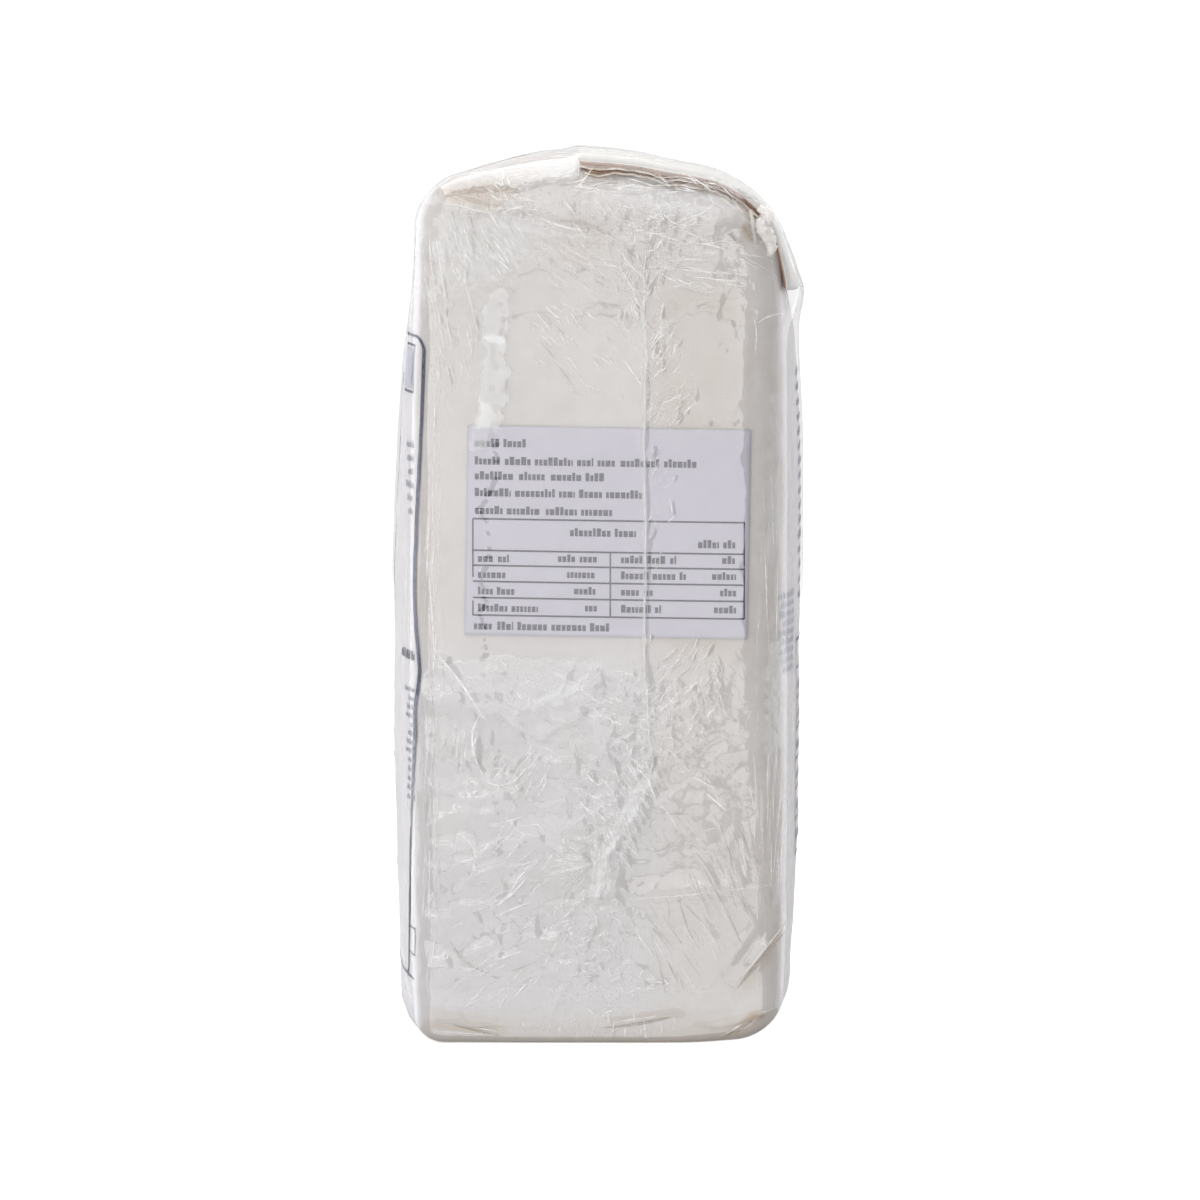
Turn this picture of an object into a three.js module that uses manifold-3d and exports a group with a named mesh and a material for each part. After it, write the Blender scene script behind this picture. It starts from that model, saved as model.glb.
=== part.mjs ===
// A full 1.5 kg paper bag of flour, shut at the top by a rolled flap and shrink-wrapped in clear film,
// with a paper label on one narrow side, under the film.
//
// Frame, in millimetres: origin at the middle of the base, +Z up, +X out of the narrow side that carries
// the label, -Y out of the wide front face. The bag rests on its flat base in the plane Z = 0.
//
// The wrapped bag is one sealed solid: the film lies on the paper all over, and nothing inside can be seen.
// The label is a second solid, a thin sheet that follows the narrow side.

import * as THREE from "three";
import { mergeVertices } from "three/addons/utils/BufferGeometryUtils.js";
import Module from "manifold-3d";

// ---------------------------------------------------------------- driving dimensions (mm)

// the filled bag, before its faces bulge
const HALF_LENGTH = 61.4; // half the distance between the two narrow sides
const FRONT_Y = -40.2; // wide front face, at the corners
const BACK_Y = 41.6; // wide back face, at the corners
const SHOULDER_Z = 194; // top panel, at the shoulders
const CORNER = { bottomFront: 7, bottomBack: 11, topBack: 17, topFront: 9 }; // radii seen from the narrow side
const EDGE = { upright: 5.5, base: 7, top: 12 }; // radii round the rim of each narrow side

// how the flour pushes the faces out
const FRONT_BULGE = 8.0;
const BACK_BULGE = 6.5;
const NARROW_BULGE = 1.2;
const WIDEST_Z = 78; // height at which the pack is fullest
const CROWN_RISE = 7.5; // the folded top stands this much above the shoulders
const CROWN_Y = -8;
const CROWN_SPREAD = 20;

// rolled closure flap: a band of folded paper from the crown over the back shoulder
const FLAP_START_Y = -4; // front fold of the band, on the top panel
const FLAP_LIP_Z = 170; // free lip, below the back shoulder
const FLAP_LAYERS = [
  // half length along X, how far it lies in from the front fold, start and end of its thickness
  { half: 56.0, setback: 0.0, from: -0.8, to: 1.1 },
  { half: 54.6, setback: 1.6, from: 0.8, to: 2.3 },
  { half: 55.6, setback: 3.2, from: 2.0, to: 3.4 },
];
const FLAP_THIN = 0.5; // the band is this much thinner at its lip, where fewer layers reach
const LIP_STANDOFF = 0.5; // the free lip springs away from the back face

// gusset tuck at each end of the top: a folded triangle of paper
const TUCK_HALF = 29; // half its width on the rim
const TUCK_DROP = 12; // how far its point reaches down the narrow side
const TUCK_THICK = 0.6;

// film: its seam down the labelled side, the gather below it, and the ear at the back shoulder
const SEAM_Y = 11;
const SEAM_TOP_Z = 179;
const SEAM_LOW_Z = 60;
const GATHER_Y = 0.9;
const GATHER_Z = 41.8;
const SEAM_FOOT_Y = -12.6;
const SEAM_RIDGE = { half: 0.75, rise: 0.7 };
const FILM_EAR = { y: 46.6, z: 172, x: 52, reach: 5.0, thick: 1.1, high: 8.5 };

// label
const LABEL = {
  width: 63.5,
  height: 47,
  y: 2.6,
  z: 116,
  turn: -1,
  thick: 0.4,
  gap: 0.3,
  corner: 1.2,
};

// mesh density
const EDGE_STEPS = { base: 9, back: 16, top: 14, front: 16, corner: 5 };
const LENGTH_STEPS = 14;
const RIM_STEPS = 4;
const END_STEPS = 6;

// ---------------------------------------------------------------- helpers

const DEG = Math.PI / 180;
const clamp = (v, lo, hi) => Math.min(hi, Math.max(lo, v));
const smooth = (t) => {
  const c = clamp(t, 0, 1);
  return c * c * (3 - 2 * c);
};
const mix = (a, b, t) => a + (b - a) * t;

// ---------------------------------------------------------------- outline seen from the narrow side

// A rounded rectangle in Y and Z, walked from the base's front end, up the back, over the top and down the front.
// Each stop keeps its point, its outward normal and the rim radius that applies there.
function outlineStops() {
  const stops = [];
  const put = (y, z, ny, nz, rim) => stops.push({ y, z, ny, nz, rim });
  const line = (y0, z0, y1, z1, ny, nz, rim, steps) => {
    for (let i = 0; i < steps; i++)
      put(mix(y0, y1, i / steps), mix(z0, z1, i / steps), ny, nz, rim);
  };
  const arc = (cy, cz, r, from, rimA, rimB) => {
    for (let i = 0; i < EDGE_STEPS.corner; i++) {
      const k = i / EDGE_STEPS.corner,
        a = (from + 90 * k) * DEG;
      put(
        cy + r * Math.cos(a),
        cz + r * Math.sin(a),
        Math.cos(a),
        Math.sin(a),
        mix(rimA, rimB, smooth(k)),
      );
    }
  };
  const c = CORNER;
  line(FRONT_Y + c.bottomFront, 0, BACK_Y - c.bottomBack, 0, 0, -1, EDGE.base, EDGE_STEPS.base);
  arc(BACK_Y - c.bottomBack, c.bottomBack, c.bottomBack, -90, EDGE.base, EDGE.upright);
  line(BACK_Y, c.bottomBack, BACK_Y, SHOULDER_Z - c.topBack, 1, 0, EDGE.upright, EDGE_STEPS.back);
  arc(BACK_Y - c.topBack, SHOULDER_Z - c.topBack, c.topBack, 0, EDGE.upright, EDGE.top);
  line(BACK_Y - c.topBack, SHOULDER_Z, FRONT_Y + c.topFront, SHOULDER_Z, 0, 1, EDGE.top, EDGE_STEPS.top);
  arc(FRONT_Y + c.topFront, SHOULDER_Z - c.topFront, c.topFront, 90, EDGE.top, EDGE.upright);
  line(FRONT_Y, SHOULDER_Z - c.topFront, FRONT_Y, c.bottomFront, -1, 0, EDGE.upright, EDGE_STEPS.front);
  arc(FRONT_Y + c.bottomFront, c.bottomFront, c.bottomFront, 180, EDGE.upright, EDGE.base);
  return stops;
}

// ---------------------------------------------------------------- the flour's push

const frontFullness = (z) =>
  z < WIDEST_Z
    ? 1 - 0.18 * ((WIDEST_Z - z) / 63) ** 2
    : 1 - 0.44 * ((z - WIDEST_Z) / 89) ** 2;
const backFullness = (z) =>
  z < WIDEST_Z
    ? 1 - 0.3 * ((WIDEST_Z - z) / 63) ** 2
    : 1 - 0.45 * smooth((z - 130) / 62);

const narrowBulge = (y, z) =>
  NARROW_BULGE *
  Math.max(0, 1 - (y / 40) ** 2) *
  Math.max(0, 1 - ((z - 96) / 100) ** 2);

// Turns a point of the plain rounded block into a point of the filled pack.
function fill(x, y, z) {
  const along = Math.max(0, 1 - Math.abs(x / 62) ** 2.2);
  const side =
    y < 0
      ? -FRONT_BULGE * frontFullness(z) * (y / FRONT_Y) ** 2
      : BACK_BULGE * backFullness(z) * (y / BACK_Y) ** 2;
  const crown =
    CROWN_RISE *
    Math.exp(-(((y - CROWN_Y) / CROWN_SPREAD) ** 2)) *
    smooth((z - 110) / (SHOULDER_Z - 110)) *
    (1 - 0.25 * Math.abs(x / 62) ** 4);
  const end = smooth((Math.abs(x) - 30) / (HALF_LENGTH - 30));
  return new THREE.Vector3(
    x + Math.sign(x) * end * narrowBulge(y, z),
    y + side * along,
    z + crown,
  );
}

// A point of the skin: stop of the outline, x of the plain block, inset towards the block's middle.
function skin(stop, x, inset = 0) {
  return fill(x, stop.y - stop.ny * inset, stop.z - stop.nz * inset);
}

// The plane of the labelled side at (y, z)
const narrowX = (y, z) => HALF_LENGTH + narrowBulge(y, z);

// ---------------------------------------------------------------- closed meshes from rings

// rings: equal-length closed loops, in order; poles close the two ends.
function closedFromRings(rings, firstPole, lastPole) {
  const n = rings[0].length,
    pos = [],
    index = [];
  for (const ring of rings) for (const p of ring) pos.push(p.x, p.y, p.z);
  for (let r = 0; r + 1 < rings.length; r++)
    for (let i = 0; i < n; i++) {
      const a = r * n + i,
        b = r * n + ((i + 1) % n),
        c = a + n,
        d = b + n;
      index.push(a, b, c, b, d, c);
    }
  const first = pos.length / 3;
  pos.push(firstPole.x, firstPole.y, firstPole.z);
  const last = pos.length / 3;
  pos.push(lastPole.x, lastPole.y, lastPole.z);
  const base = (rings.length - 1) * n;
  for (let i = 0; i < n; i++) {
    index.push(first, (i + 1) % n, i);
    index.push(last, base + i, base + ((i + 1) % n));
  }
  return indexed(pos, index);
}

// A slab: a grid of lower and upper points, closed round its rim.
function slab(lower, upper) {
  const rows = lower.length,
    cols = lower[0].length,
    pos = [],
    index = [];
  for (const grid of [lower, upper])
    for (const row of grid) for (const p of row) pos.push(p.x, p.y, p.z);
  const lo = (r, c) => r * cols + c,
    up = (r, c) => rows * cols + r * cols + c;
  for (let r = 0; r + 1 < rows; r++)
    for (let c = 0; c + 1 < cols; c++) {
      index.push(up(r, c), up(r + 1, c), up(r, c + 1));
      index.push(up(r + 1, c), up(r + 1, c + 1), up(r, c + 1));
      index.push(lo(r, c), lo(r, c + 1), lo(r + 1, c));
      index.push(lo(r + 1, c), lo(r, c + 1), lo(r + 1, c + 1));
    }
  const rim = [];
  for (let r = 0; r < rows - 1; r++) rim.push([r, 0]);
  for (let c = 0; c < cols - 1; c++) rim.push([rows - 1, c]);
  for (let r = rows - 1; r > 0; r--) rim.push([r, cols - 1]);
  for (let c = cols - 1; c > 0; c--) rim.push([0, c]);
  rim.forEach(([r, c], i) => {
    const [r2, c2] = rim[(i + 1) % rim.length];
    index.push(lo(r, c), lo(r2, c2), up(r, c));
    index.push(lo(r2, c2), up(r2, c2), up(r, c));
  });
  return indexed(pos, index);
}

// Indexed geometry, turned so that its faces point out.
function indexed(pos, index) {
  let volume = 0;
  const p = (i) => new THREE.Vector3(pos[3 * i], pos[3 * i + 1], pos[3 * i + 2]);
  for (let i = 0; i < index.length; i += 3)
    volume += p(index[i]).dot(p(index[i + 1]).cross(p(index[i + 2])));
  if (volume < 0)
    for (let i = 0; i < index.length; i += 3)
      [index[i + 1], index[i + 2]] = [index[i + 2], index[i + 1]];
  const g = new THREE.BufferGeometry();
  g.setAttribute("position", new THREE.Float32BufferAttribute(pos, 3));
  g.setIndex(index);
  return g;
}

// ---------------------------------------------------------------- the filled bag

function bagBody() {
  const stops = outlineStops();
  const rings = [];
  const halfRings = (sign) => {
    const out = [];
    for (let k = 1; k <= LENGTH_STEPS / 2; k++)
      out.push(
        stops.map((s) =>
          skin(s, sign * (HALF_LENGTH - s.rim) * (k / (LENGTH_STEPS / 2)) ** 0.9),
        ),
      );
    for (let k = 1; k <= RIM_STEPS; k++) {
      const a = (90 * k * DEG) / RIM_STEPS;
      out.push(
        stops.map((s) =>
          skin(
            s,
            sign * (HALF_LENGTH - s.rim * (1 - Math.sin(a))),
            s.rim * (1 - Math.cos(a)),
          ),
        ),
      );
    }
    // the flat of the narrow side, in shrinking loops
    for (let k = 1; k < END_STEPS; k++) {
      const rho = 1 - k / END_STEPS;
      out.push(
        stops.map((s) => {
          const y = s.y - s.ny * s.rim,
            z = s.z - s.nz * s.rim;
          return fill(
            sign * HALF_LENGTH,
            mix(0.7, y, rho),
            mix(95, z, rho),
          );
        }),
      );
    }
    return out;
  };
  const plus = halfRings(1),
    minus = halfRings(-1).reverse();
  rings.push(...minus, stops.map((s) => skin(s, 0)), ...plus);
  return closedFromRings(
    rings,
    fill(-HALF_LENGTH, 0.7, 95),
    fill(HALF_LENGTH, 0.7, 95),
  );
}

// ---------------------------------------------------------------- closure flap

// The outline's stretch from the crown over the back shoulder, as points of the plain block with normals.
function flapPath(setback) {
  const r = CORNER.topBack,
    cy = BACK_Y - r,
    cz = SHOULDER_Z - r,
    path = [],
    startY = FLAP_START_Y + setback;
  const flat = 6,
    round = 5,
    hang = 3;
  for (let i = 0; i <= flat; i++)
    path.push({ y: mix(startY, cy, i / flat), z: SHOULDER_Z, ny: 0, nz: 1, k: 0, run: i / flat, thin: 0 });
  for (let i = 1; i <= round; i++) {
    const a = (90 - (90 * i) / round) * DEG;
    path.push({
      y: cy + r * Math.cos(a),
      z: cz + r * Math.sin(a),
      ny: Math.cos(a),
      nz: Math.sin(a),
      k: 0,
      run: 1,
      thin: i / round,
    });
  }
  for (let i = 1; i <= hang; i++)
    path.push({
      y: BACK_Y,
      z: mix(cz, FLAP_LIP_Z, i / hang),
      ny: 1,
      nz: 0,
      k: i / hang,
      run: 1,
      thin: 1,
    });
  return path;
}

// Drop of the top panel towards each narrow side, where its rim rounds off.
function rimDrop(x) {
  const past = Math.abs(x) - (HALF_LENGTH - EDGE.top);
  if (past <= 0) return 0;
  const s = clamp(past / EDGE.top, 0, 1);
  return EDGE.top * (1 - Math.sqrt(1 - s * s));
}

function flapLayer(layer) {
  const path = flapPath(layer.setback);
  const stations = 10;
  const lower = [],
    upper = [];
  for (let i = 0; i <= stations; i++) {
    const x = mix(-layer.half, layer.half, i / stations);
    const lo = [],
      up = [];
    for (const p of path) {
      const rise =
        (0.3 + 0.7 * smooth(p.run * 1.6)) * mix(1, 1 - FLAP_THIN, smooth(p.thin));
      const off = LIP_STANDOFF * p.k;
      const inset = rimDrop(x) * 0.8 * Math.max(0, p.nz);
      const at = (d) => {
        const v = fill(x, p.y, p.z);
        return new THREE.Vector3(
          x,
          v.y + p.ny * (d + off),
          v.z + p.nz * d - inset,
        );
      };
      lo.push(at(layer.from < 0 ? layer.from : layer.from * rise));
      up.push(at(layer.to * rise));
    }
    lower.push(lo);
    upper.push(up);
  }
  return slab(lower, upper);
}

// ---------------------------------------------------------------- gusset tuck

// A triangle of folded paper that laps over the rim at each end of the top.
function tuck(sign) {
  const rows = 6,
    cols = 8,
    lower = [],
    upper = [];
  for (let r = 0; r <= rows; r++) {
    const t = r / rows,
      lo = [],
      up = [];
    const half = TUCK_HALF * (1 - 0.93 * t);
    for (let c = 0; c <= cols; c++) {
      const y = mix(-half, half, c / cols) + mix(-1.5, -8, t);
      // from the top panel, round the rim and down the narrow side
      const a = mix(34, 90, Math.min(1, t * 1.35)) * DEG;
      const down = Math.max(0, t - 1 / 1.35) * TUCK_DROP;
      const place = (d) => {
        const radius = EDGE.top + d;
        return fill(
          sign * (HALF_LENGTH - EDGE.top + radius * Math.sin(a)),
          y,
          SHOULDER_Z - EDGE.top + radius * Math.cos(a) - down,
        );
      };
      lo.push(place(-0.9));
      up.push(place(TUCK_THICK * (1 - 0.3 * t)));
    }
    lower.push(lo);
    upper.push(up);
  }
  return slab(lower, upper);
}

// ---------------------------------------------------------------- film seam, gather and ear

// A low ridge of film laid along a path of (y, z) points on the labelled side.
function ridge(points, rise = SEAM_RIDGE.rise, half = SEAM_RIDGE.half) {
  const curve = new THREE.CatmullRomCurve3(
    points.map(([y, z]) => new THREE.Vector3(0, y, z)),
    false,
    "centripetal",
  );
  const steps = 5 * (points.length - 1);
  const lower = [],
    upper = [];
  for (let i = 0; i <= steps; i++) {
    const p = curve.getPoint(i / steps),
      t = curve.getTangent(i / steps),
      side = new THREE.Vector3(0, -t.z, t.y),
      fade = 0.35 + 0.65 * Math.sin((Math.PI * i) / steps) ** 0.5;
    const lo = [],
      up = [];
    for (const k of [-1, 0, 1]) {
      const y = p.y + side.y * half * k,
        z = p.z + side.z * half * k,
        x = narrowX(y, z);
      lo.push(new THREE.Vector3(x - 0.6, y, z));
      up.push(new THREE.Vector3(x + (k === 0 ? rise * fade : 0.12), y, z));
    }
    lower.push(lo);
    upper.push(up);
  }
  return slab(lower, upper);
}

function gatherKnot() {
  const g = new THREE.SphereGeometry(1, 10, 8);
  g.scale(1.3, 2.6, 4.0);
  g.rotateX(-14 * DEG);
  g.translate(narrowX(GATHER_Y, GATHER_Z), GATHER_Y, GATHER_Z);
  return g;
}

// The sealed corner of the film, drawn out to a small ear beside the back shoulder.
function filmEar(sign) {
  const e = FILM_EAR;
  const inner = 41.2;
  const rows = 4,
    cols = 3,
    lower = [],
    upper = [];
  for (let r = 0; r <= rows; r++) {
    const t = r / rows,
      lo = [],
      up = [];
    for (let c = 0; c <= cols; c++) {
      const s = c / cols;
      const y = mix(inner, e.y - 0.2 * (1 - t), t);
      const z = e.z + mix(e.high, 1.0, t) * (0.5 - s) * 2;
      const x = sign * (e.x + e.reach * (1 - t) * 0.2);
      lo.push(new THREE.Vector3(x - e.thick / 2 - 0.6 * (1 - t), y, z));
      up.push(new THREE.Vector3(x + e.thick / 2 + 0.6 * (1 - t), y, z));
    }
    lower.push(lo);
    upper.push(up);
  }
  return slab(lower, upper);
}

// ---------------------------------------------------------------- label

function labelSheet() {
  const rows = 8,
    cols = 10,
    lower = [],
    upper = [];
  const a = LABEL.turn * DEG;
  for (let r = 0; r <= rows; r++) {
    const lo = [],
      up = [];
    for (let c = 0; c <= cols; c++) {
      const v = (r / rows - 0.5) * LABEL.height;
      // the corners are clipped a little
      const clip =
        (r === 0 || r === rows) && (c === 0 || c === cols) ? LABEL.corner * 0.3 : 0;
      const u = (c / cols - 0.5) * (LABEL.width - 2 * clip);
      const w = v * (1 - (2 * clip) / LABEL.height);
      const y = LABEL.y + u * Math.cos(a) - w * Math.sin(a);
      const z = LABEL.z + u * Math.sin(a) + w * Math.cos(a);
      const x = narrowX(y, z) + LABEL.gap;
      lo.push(new THREE.Vector3(x, y, z));
      up.push(new THREE.Vector3(x + LABEL.thick, y, z));
    }
    lower.push(lo);
    upper.push(up);
  }
  return slab(lower, upper);
}

// ---------------------------------------------------------------- joining

const wasm = await Module();
wasm.setup();

function toSolid(geometry) {
  const bare = geometry.clone();
  for (const name of Object.keys(bare.attributes))
    if (name !== "position") bare.deleteAttribute(name);
  const g = mergeVertices(bare, 1e-4);
  return new wasm.Manifold(
    new wasm.Mesh({
      numProp: 3,
      vertProperties: new Float32Array(g.attributes.position.array),
      triVerts: new Uint32Array(g.index.array),
    }),
  );
}

function toGeometry(solid) {
  const m = solid.getMesh(),
    n = m.numProp,
    pos = [];
  for (let i = 0; i < m.numVert; i++)
    pos.push(...m.vertProperties.subarray(i * n, i * n + 3));
  const g = new THREE.BufferGeometry();
  g.setAttribute("position", new THREE.Float32BufferAttribute(pos, 3));
  g.setIndex([...m.triVerts]);
  g.computeVertexNormals();
  return g;
}

const labelLow = LABEL.z - LABEL.height / 2 - 2.2;
const labelHigh = LABEL.z + LABEL.height / 2 + 2.2;
const pieces = [
  bagBody(),
  ...FLAP_LAYERS.map(flapLayer),
  tuck(1),
  tuck(-1),
  ridge([
    [SEAM_Y + 0.4, SEAM_TOP_Z],
    [SEAM_Y, mix(SEAM_TOP_Z, labelHigh, 0.5)],
    [SEAM_Y, labelHigh],
  ]),
  ridge([
    [SEAM_Y, labelLow],
    [SEAM_Y + 1, SEAM_LOW_Z],
    [mix(SEAM_Y, GATHER_Y, 0.55), mix(SEAM_LOW_Z, GATHER_Z, 0.5)],
    [GATHER_Y, GATHER_Z],
    [0.2, 33],
    [-5.5, 18],
    [SEAM_FOOT_Y, 8],
  ]),
  gatherKnot(),
  filmEar(1),
];
let pack = toSolid(pieces[0]);
for (const piece of pieces.slice(1)) pack = pack.add(toSolid(piece));

// ---------------------------------------------------------------- the group

const root = new THREE.Group();

const wrapped = new THREE.Mesh(
  toGeometry(pack),
  new THREE.MeshStandardMaterial({
    color: new THREE.Color("rgb(229, 225, 218)"),
    roughness: 0.35,
    metalness: 0,
  }),
);
wrapped.name = "wrapped_bag";
root.add(wrapped);

const label = new THREE.Mesh(
  labelSheet(),
  new THREE.MeshStandardMaterial({
    color: new THREE.Color("rgb(222, 219, 232)"),
    roughness: 0.55,
    metalness: 0,
  }),
);
label.name = "label";
root.add(label);

export default root;
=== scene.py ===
import math

import bpy
import numpy as np
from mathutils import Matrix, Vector
from mathutils.bvhtree import BVHTree


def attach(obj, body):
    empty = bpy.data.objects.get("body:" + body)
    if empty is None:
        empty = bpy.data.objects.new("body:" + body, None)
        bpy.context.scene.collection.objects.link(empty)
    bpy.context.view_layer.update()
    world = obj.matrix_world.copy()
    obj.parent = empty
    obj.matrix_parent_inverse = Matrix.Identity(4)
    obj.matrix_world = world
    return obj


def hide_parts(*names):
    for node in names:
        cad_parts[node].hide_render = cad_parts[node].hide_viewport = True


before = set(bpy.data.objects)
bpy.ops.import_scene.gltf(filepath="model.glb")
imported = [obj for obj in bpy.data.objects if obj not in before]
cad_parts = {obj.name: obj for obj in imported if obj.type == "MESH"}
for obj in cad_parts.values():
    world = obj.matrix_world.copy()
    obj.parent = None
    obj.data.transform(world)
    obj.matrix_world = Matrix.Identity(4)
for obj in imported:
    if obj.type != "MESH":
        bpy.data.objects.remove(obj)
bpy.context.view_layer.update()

MM = 0.001
PX = 0.2245  # millimetres on the labelled side for one pixel of the 1200 px frame


def at(px, py):
    """A point (y, z) in mm on the labelled narrow side, from its place in the 1200 px frame."""
    return ((px - 596.0) * PX, (1046.0 - py) * PX)


# ------------------------------------------------------------------ dimensions, mm, as in the frame
HALF_LENGTH = 61.4
FRONT_Y, BACK_Y = -40.2, 41.6
SHOULDER_Z = 194.0
CORNER = dict(bf=6.0, bb=10.0, tb=17.0, tf=9.0)
RIM = dict(base=3.0, upright=5.5, top=12.0, bf=3.8, bb=4.8, tb=10.0, tf=7.4)
FRONT_BULGE, BACK_BULGE, NARROW_BULGE = 7.6, 6.4, 1.2
WIDEST_Z = 78.0
CROWN_RISE, CROWN_Y = 7.5, -8.0
FLAP_START_Y, FLAP_LIP_Z, FLAP_THICK = -4.0, 170.0, 3.4
SEAM_Y = 11.0
LABEL_W, LABEL_H, LABEL_Y, LABEL_Z, LABEL_TURN = 63.5, 47.0, 2.6, 116.0, -1.0


def smooth(t):
    c = np.clip(t, 0.0, 1.0)
    return c * c * (3 - 2 * c)


def mix(a, b, t):
    return a + (b - a) * t


# ------------------------------------------------------------------ noise
class Noise:
    """Seeded gradient noise in three dimensions, about -1 to 1."""

    def __init__(self, seed):
        rng = np.random.default_rng(seed)
        self.perm = np.concatenate([rng.permutation(256)] * 3)
        g = rng.normal(size=(256, 3))
        self.grad = g / np.linalg.norm(g, axis=1)[:, None]

    def __call__(self, p):
        p = np.asarray(p, float)
        i = np.floor(p).astype(int)
        f = p - i
        i &= 255
        u = f * f * f * (f * (f * 6 - 15) + 10)
        total = np.zeros(len(p))
        for dx in (0, 1):
            for dy in (0, 1):
                for dz in (0, 1):
                    h = self.perm[
                        self.perm[self.perm[(i[:, 0] + dx) & 255] + ((i[:, 1] + dy) & 255)]
                        + ((i[:, 2] + dz) & 255)
                    ] & 255
                    d = f - np.array([dx, dy, dz])
                    w = (
                        (u[:, 0] if dx else 1 - u[:, 0])
                        * (u[:, 1] if dy else 1 - u[:, 1])
                        * (u[:, 2] if dz else 1 - u[:, 2])
                    )
                    total += w * (self.grad[h] * d).sum(1)
        return total * 1.6

    def fbm(self, p, octaves=3, gain=0.5):
        p = np.asarray(p, float)
        out, amp, s = np.zeros(len(p)), 1.0, 1.0
        for k in range(octaves):
            out += amp * self(p * s + 17.3 * k)
            amp *= gain
            s *= 2.03
        return out


N1, N2, N3 = Noise(11), Noise(23), Noise(37)


# ------------------------------------------------------------------ the filled block
def front_fullness(z):
    f = np.where(
        z < WIDEST_Z, 1 - 0.18 * ((WIDEST_Z - z) / 63) ** 2, 1 - 0.56 * ((z - WIDEST_Z) / 89) ** 2
    )
    return f * (1 - 0.75 * smooth((z - 150) / 44))


def back_fullness(z):
    f = np.where(
        z < WIDEST_Z, 1 - 0.3 * ((WIDEST_Z - z) / 63) ** 2, 1 - 0.45 * smooth((z - 130) / 62)
    )
    return f * (1 - 0.95 * smooth((z - 158) / 30))


def narrow_bulge(y, z):
    b = NARROW_BULGE * np.clip(1 - (y / 40) ** 2, 0, None) * np.clip(1 - ((z - 96) / 100) ** 2, 0, None)
    # it falls away sooner towards the back corner
    return b - 0.017 * np.clip(y - 32.6, 0, 9) ** 2 * smooth((z - 40) / 30) * smooth((186 - z) / 16)


def fill(q):
    """Points of the plain rounded block, pushed out by the flour."""
    x, y, z = q[:, 0], q[:, 1], q[:, 2]
    along = np.clip(1 - np.abs(x / 62) ** 2.2, 0, None)
    side = np.where(
        y < 0,
        -FRONT_BULGE * front_fullness(z) * (y / FRONT_Y) ** 2,
        BACK_BULGE * back_fullness(z) * (y / BACK_Y) ** 2,
    )
    crown = (
        CROWN_RISE
        * np.exp(-(((y - CROWN_Y) / np.where(y > CROWN_Y, 27.0, 22.0)) ** 2))
        * smooth((z - 110) / (SHOULDER_Z - 110))
        * (1 - 0.20 * np.abs(x / 62) ** 4)
    )
    end = smooth((np.abs(x) - 30) / (HALF_LENGTH - 30))
    # the base lifts a little towards the back corner, and the front shoulder slopes
    lift = 0.0024 * np.clip(y - 15, 0, None) ** 2 * np.exp(-z / 9.0)
    slope = 0.005 * np.clip(-y - 24, 0, None) ** 2 * smooth((z - 176) / 18)
    return np.stack(
        [x + np.sign(x) * end * narrow_bulge(y, z), y + side * along, z + crown + lift - slope], 1
    )


# outline seen from the narrow side: dense walk of each of its four sides, from corner middle to corner middle
def outline_side(name):
    c = CORNER
    cen = dict(
        bf=(FRONT_Y + c["bf"], c["bf"]),
        bb=(BACK_Y - c["bb"], c["bb"]),
        tb=(BACK_Y - c["tb"], SHOULDER_Z - c["tb"]),
        tf=(FRONT_Y + c["tf"], SHOULDER_Z - c["tf"]),
    )
    plan = dict(
        bottom=("bf", 225, 270, "bb", 270, 315, "base"),
        back=("bb", 315, 360, "tb", 0, 45, "upright"),
        top=("tb", 45, 90, "tf", 90, 135, "top"),
        front=("tf", 135, 180, "bf", 180, 225, "upright"),
    )[name]
    k0, a0, a1, k1, b0, b1, rim = plan

    def arc(k, lo, hi, n=24):
        a = np.radians(np.linspace(lo, hi, n))
        cy, cz = cen[k]
        return np.stack([cy + c[k] * np.cos(a), cz + c[k] * np.sin(a), np.cos(a), np.sin(a)], 1)

    first, last = arc(k0, a0, a1), arc(k1, b0, b1)
    t = np.linspace(0, 1, 300)[1:-1, None]
    line = first[-1] * (1 - t) + last[0] * t
    pts = np.concatenate([first, line, last])
    s = np.concatenate([[0], np.cumsum(np.linalg.norm(np.diff(pts[:, :2], axis=0), axis=1))])
    reach = 26.0
    r = np.full(len(pts), RIM[rim])
    r = mix(RIM[k0], r, smooth(s / reach))
    r = mix(RIM[k1], r, smooth((s[-1] - s) / reach))
    return pts, s, r


def walk(name, n, split_y=None, n_split=None):
    """n stops on a side (without its last), with one of them at y = split_y."""
    pts, s, r = outline_side(name)
    if split_y is None:
        want = np.linspace(0, s[-1], n + 1)[:-1]
    else:
        order = np.argsort(pts[:, 0])
        mid = np.interp(split_y, pts[order, 0], s[order])
        want = np.concatenate(
            [np.linspace(0, mid, n_split + 1)[:-1], np.linspace(mid, s[-1], n - n_split + 1)[:-1]]
        )
    cols = [np.interp(want, s, pts[:, i]) for i in range(4)] + [np.interp(want, s, r)]
    out = np.stack(cols, 1)
    out[:, 2:4] /= np.linalg.norm(out[:, 2:4], axis=1)[:, None]
    return out


def stops(ny1, ny2, nz):
    """Round the outline: bottom (front to back), back (up), top (back to front), front (down)."""
    return np.concatenate(
        [
            walk("bottom", ny1 + ny2, SEAM_Y, ny1),
            walk("back", nz),
            walk("top", ny1 + ny2, SEAM_Y, ny2),
            walk("front", nz),
        ]
    )


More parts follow.
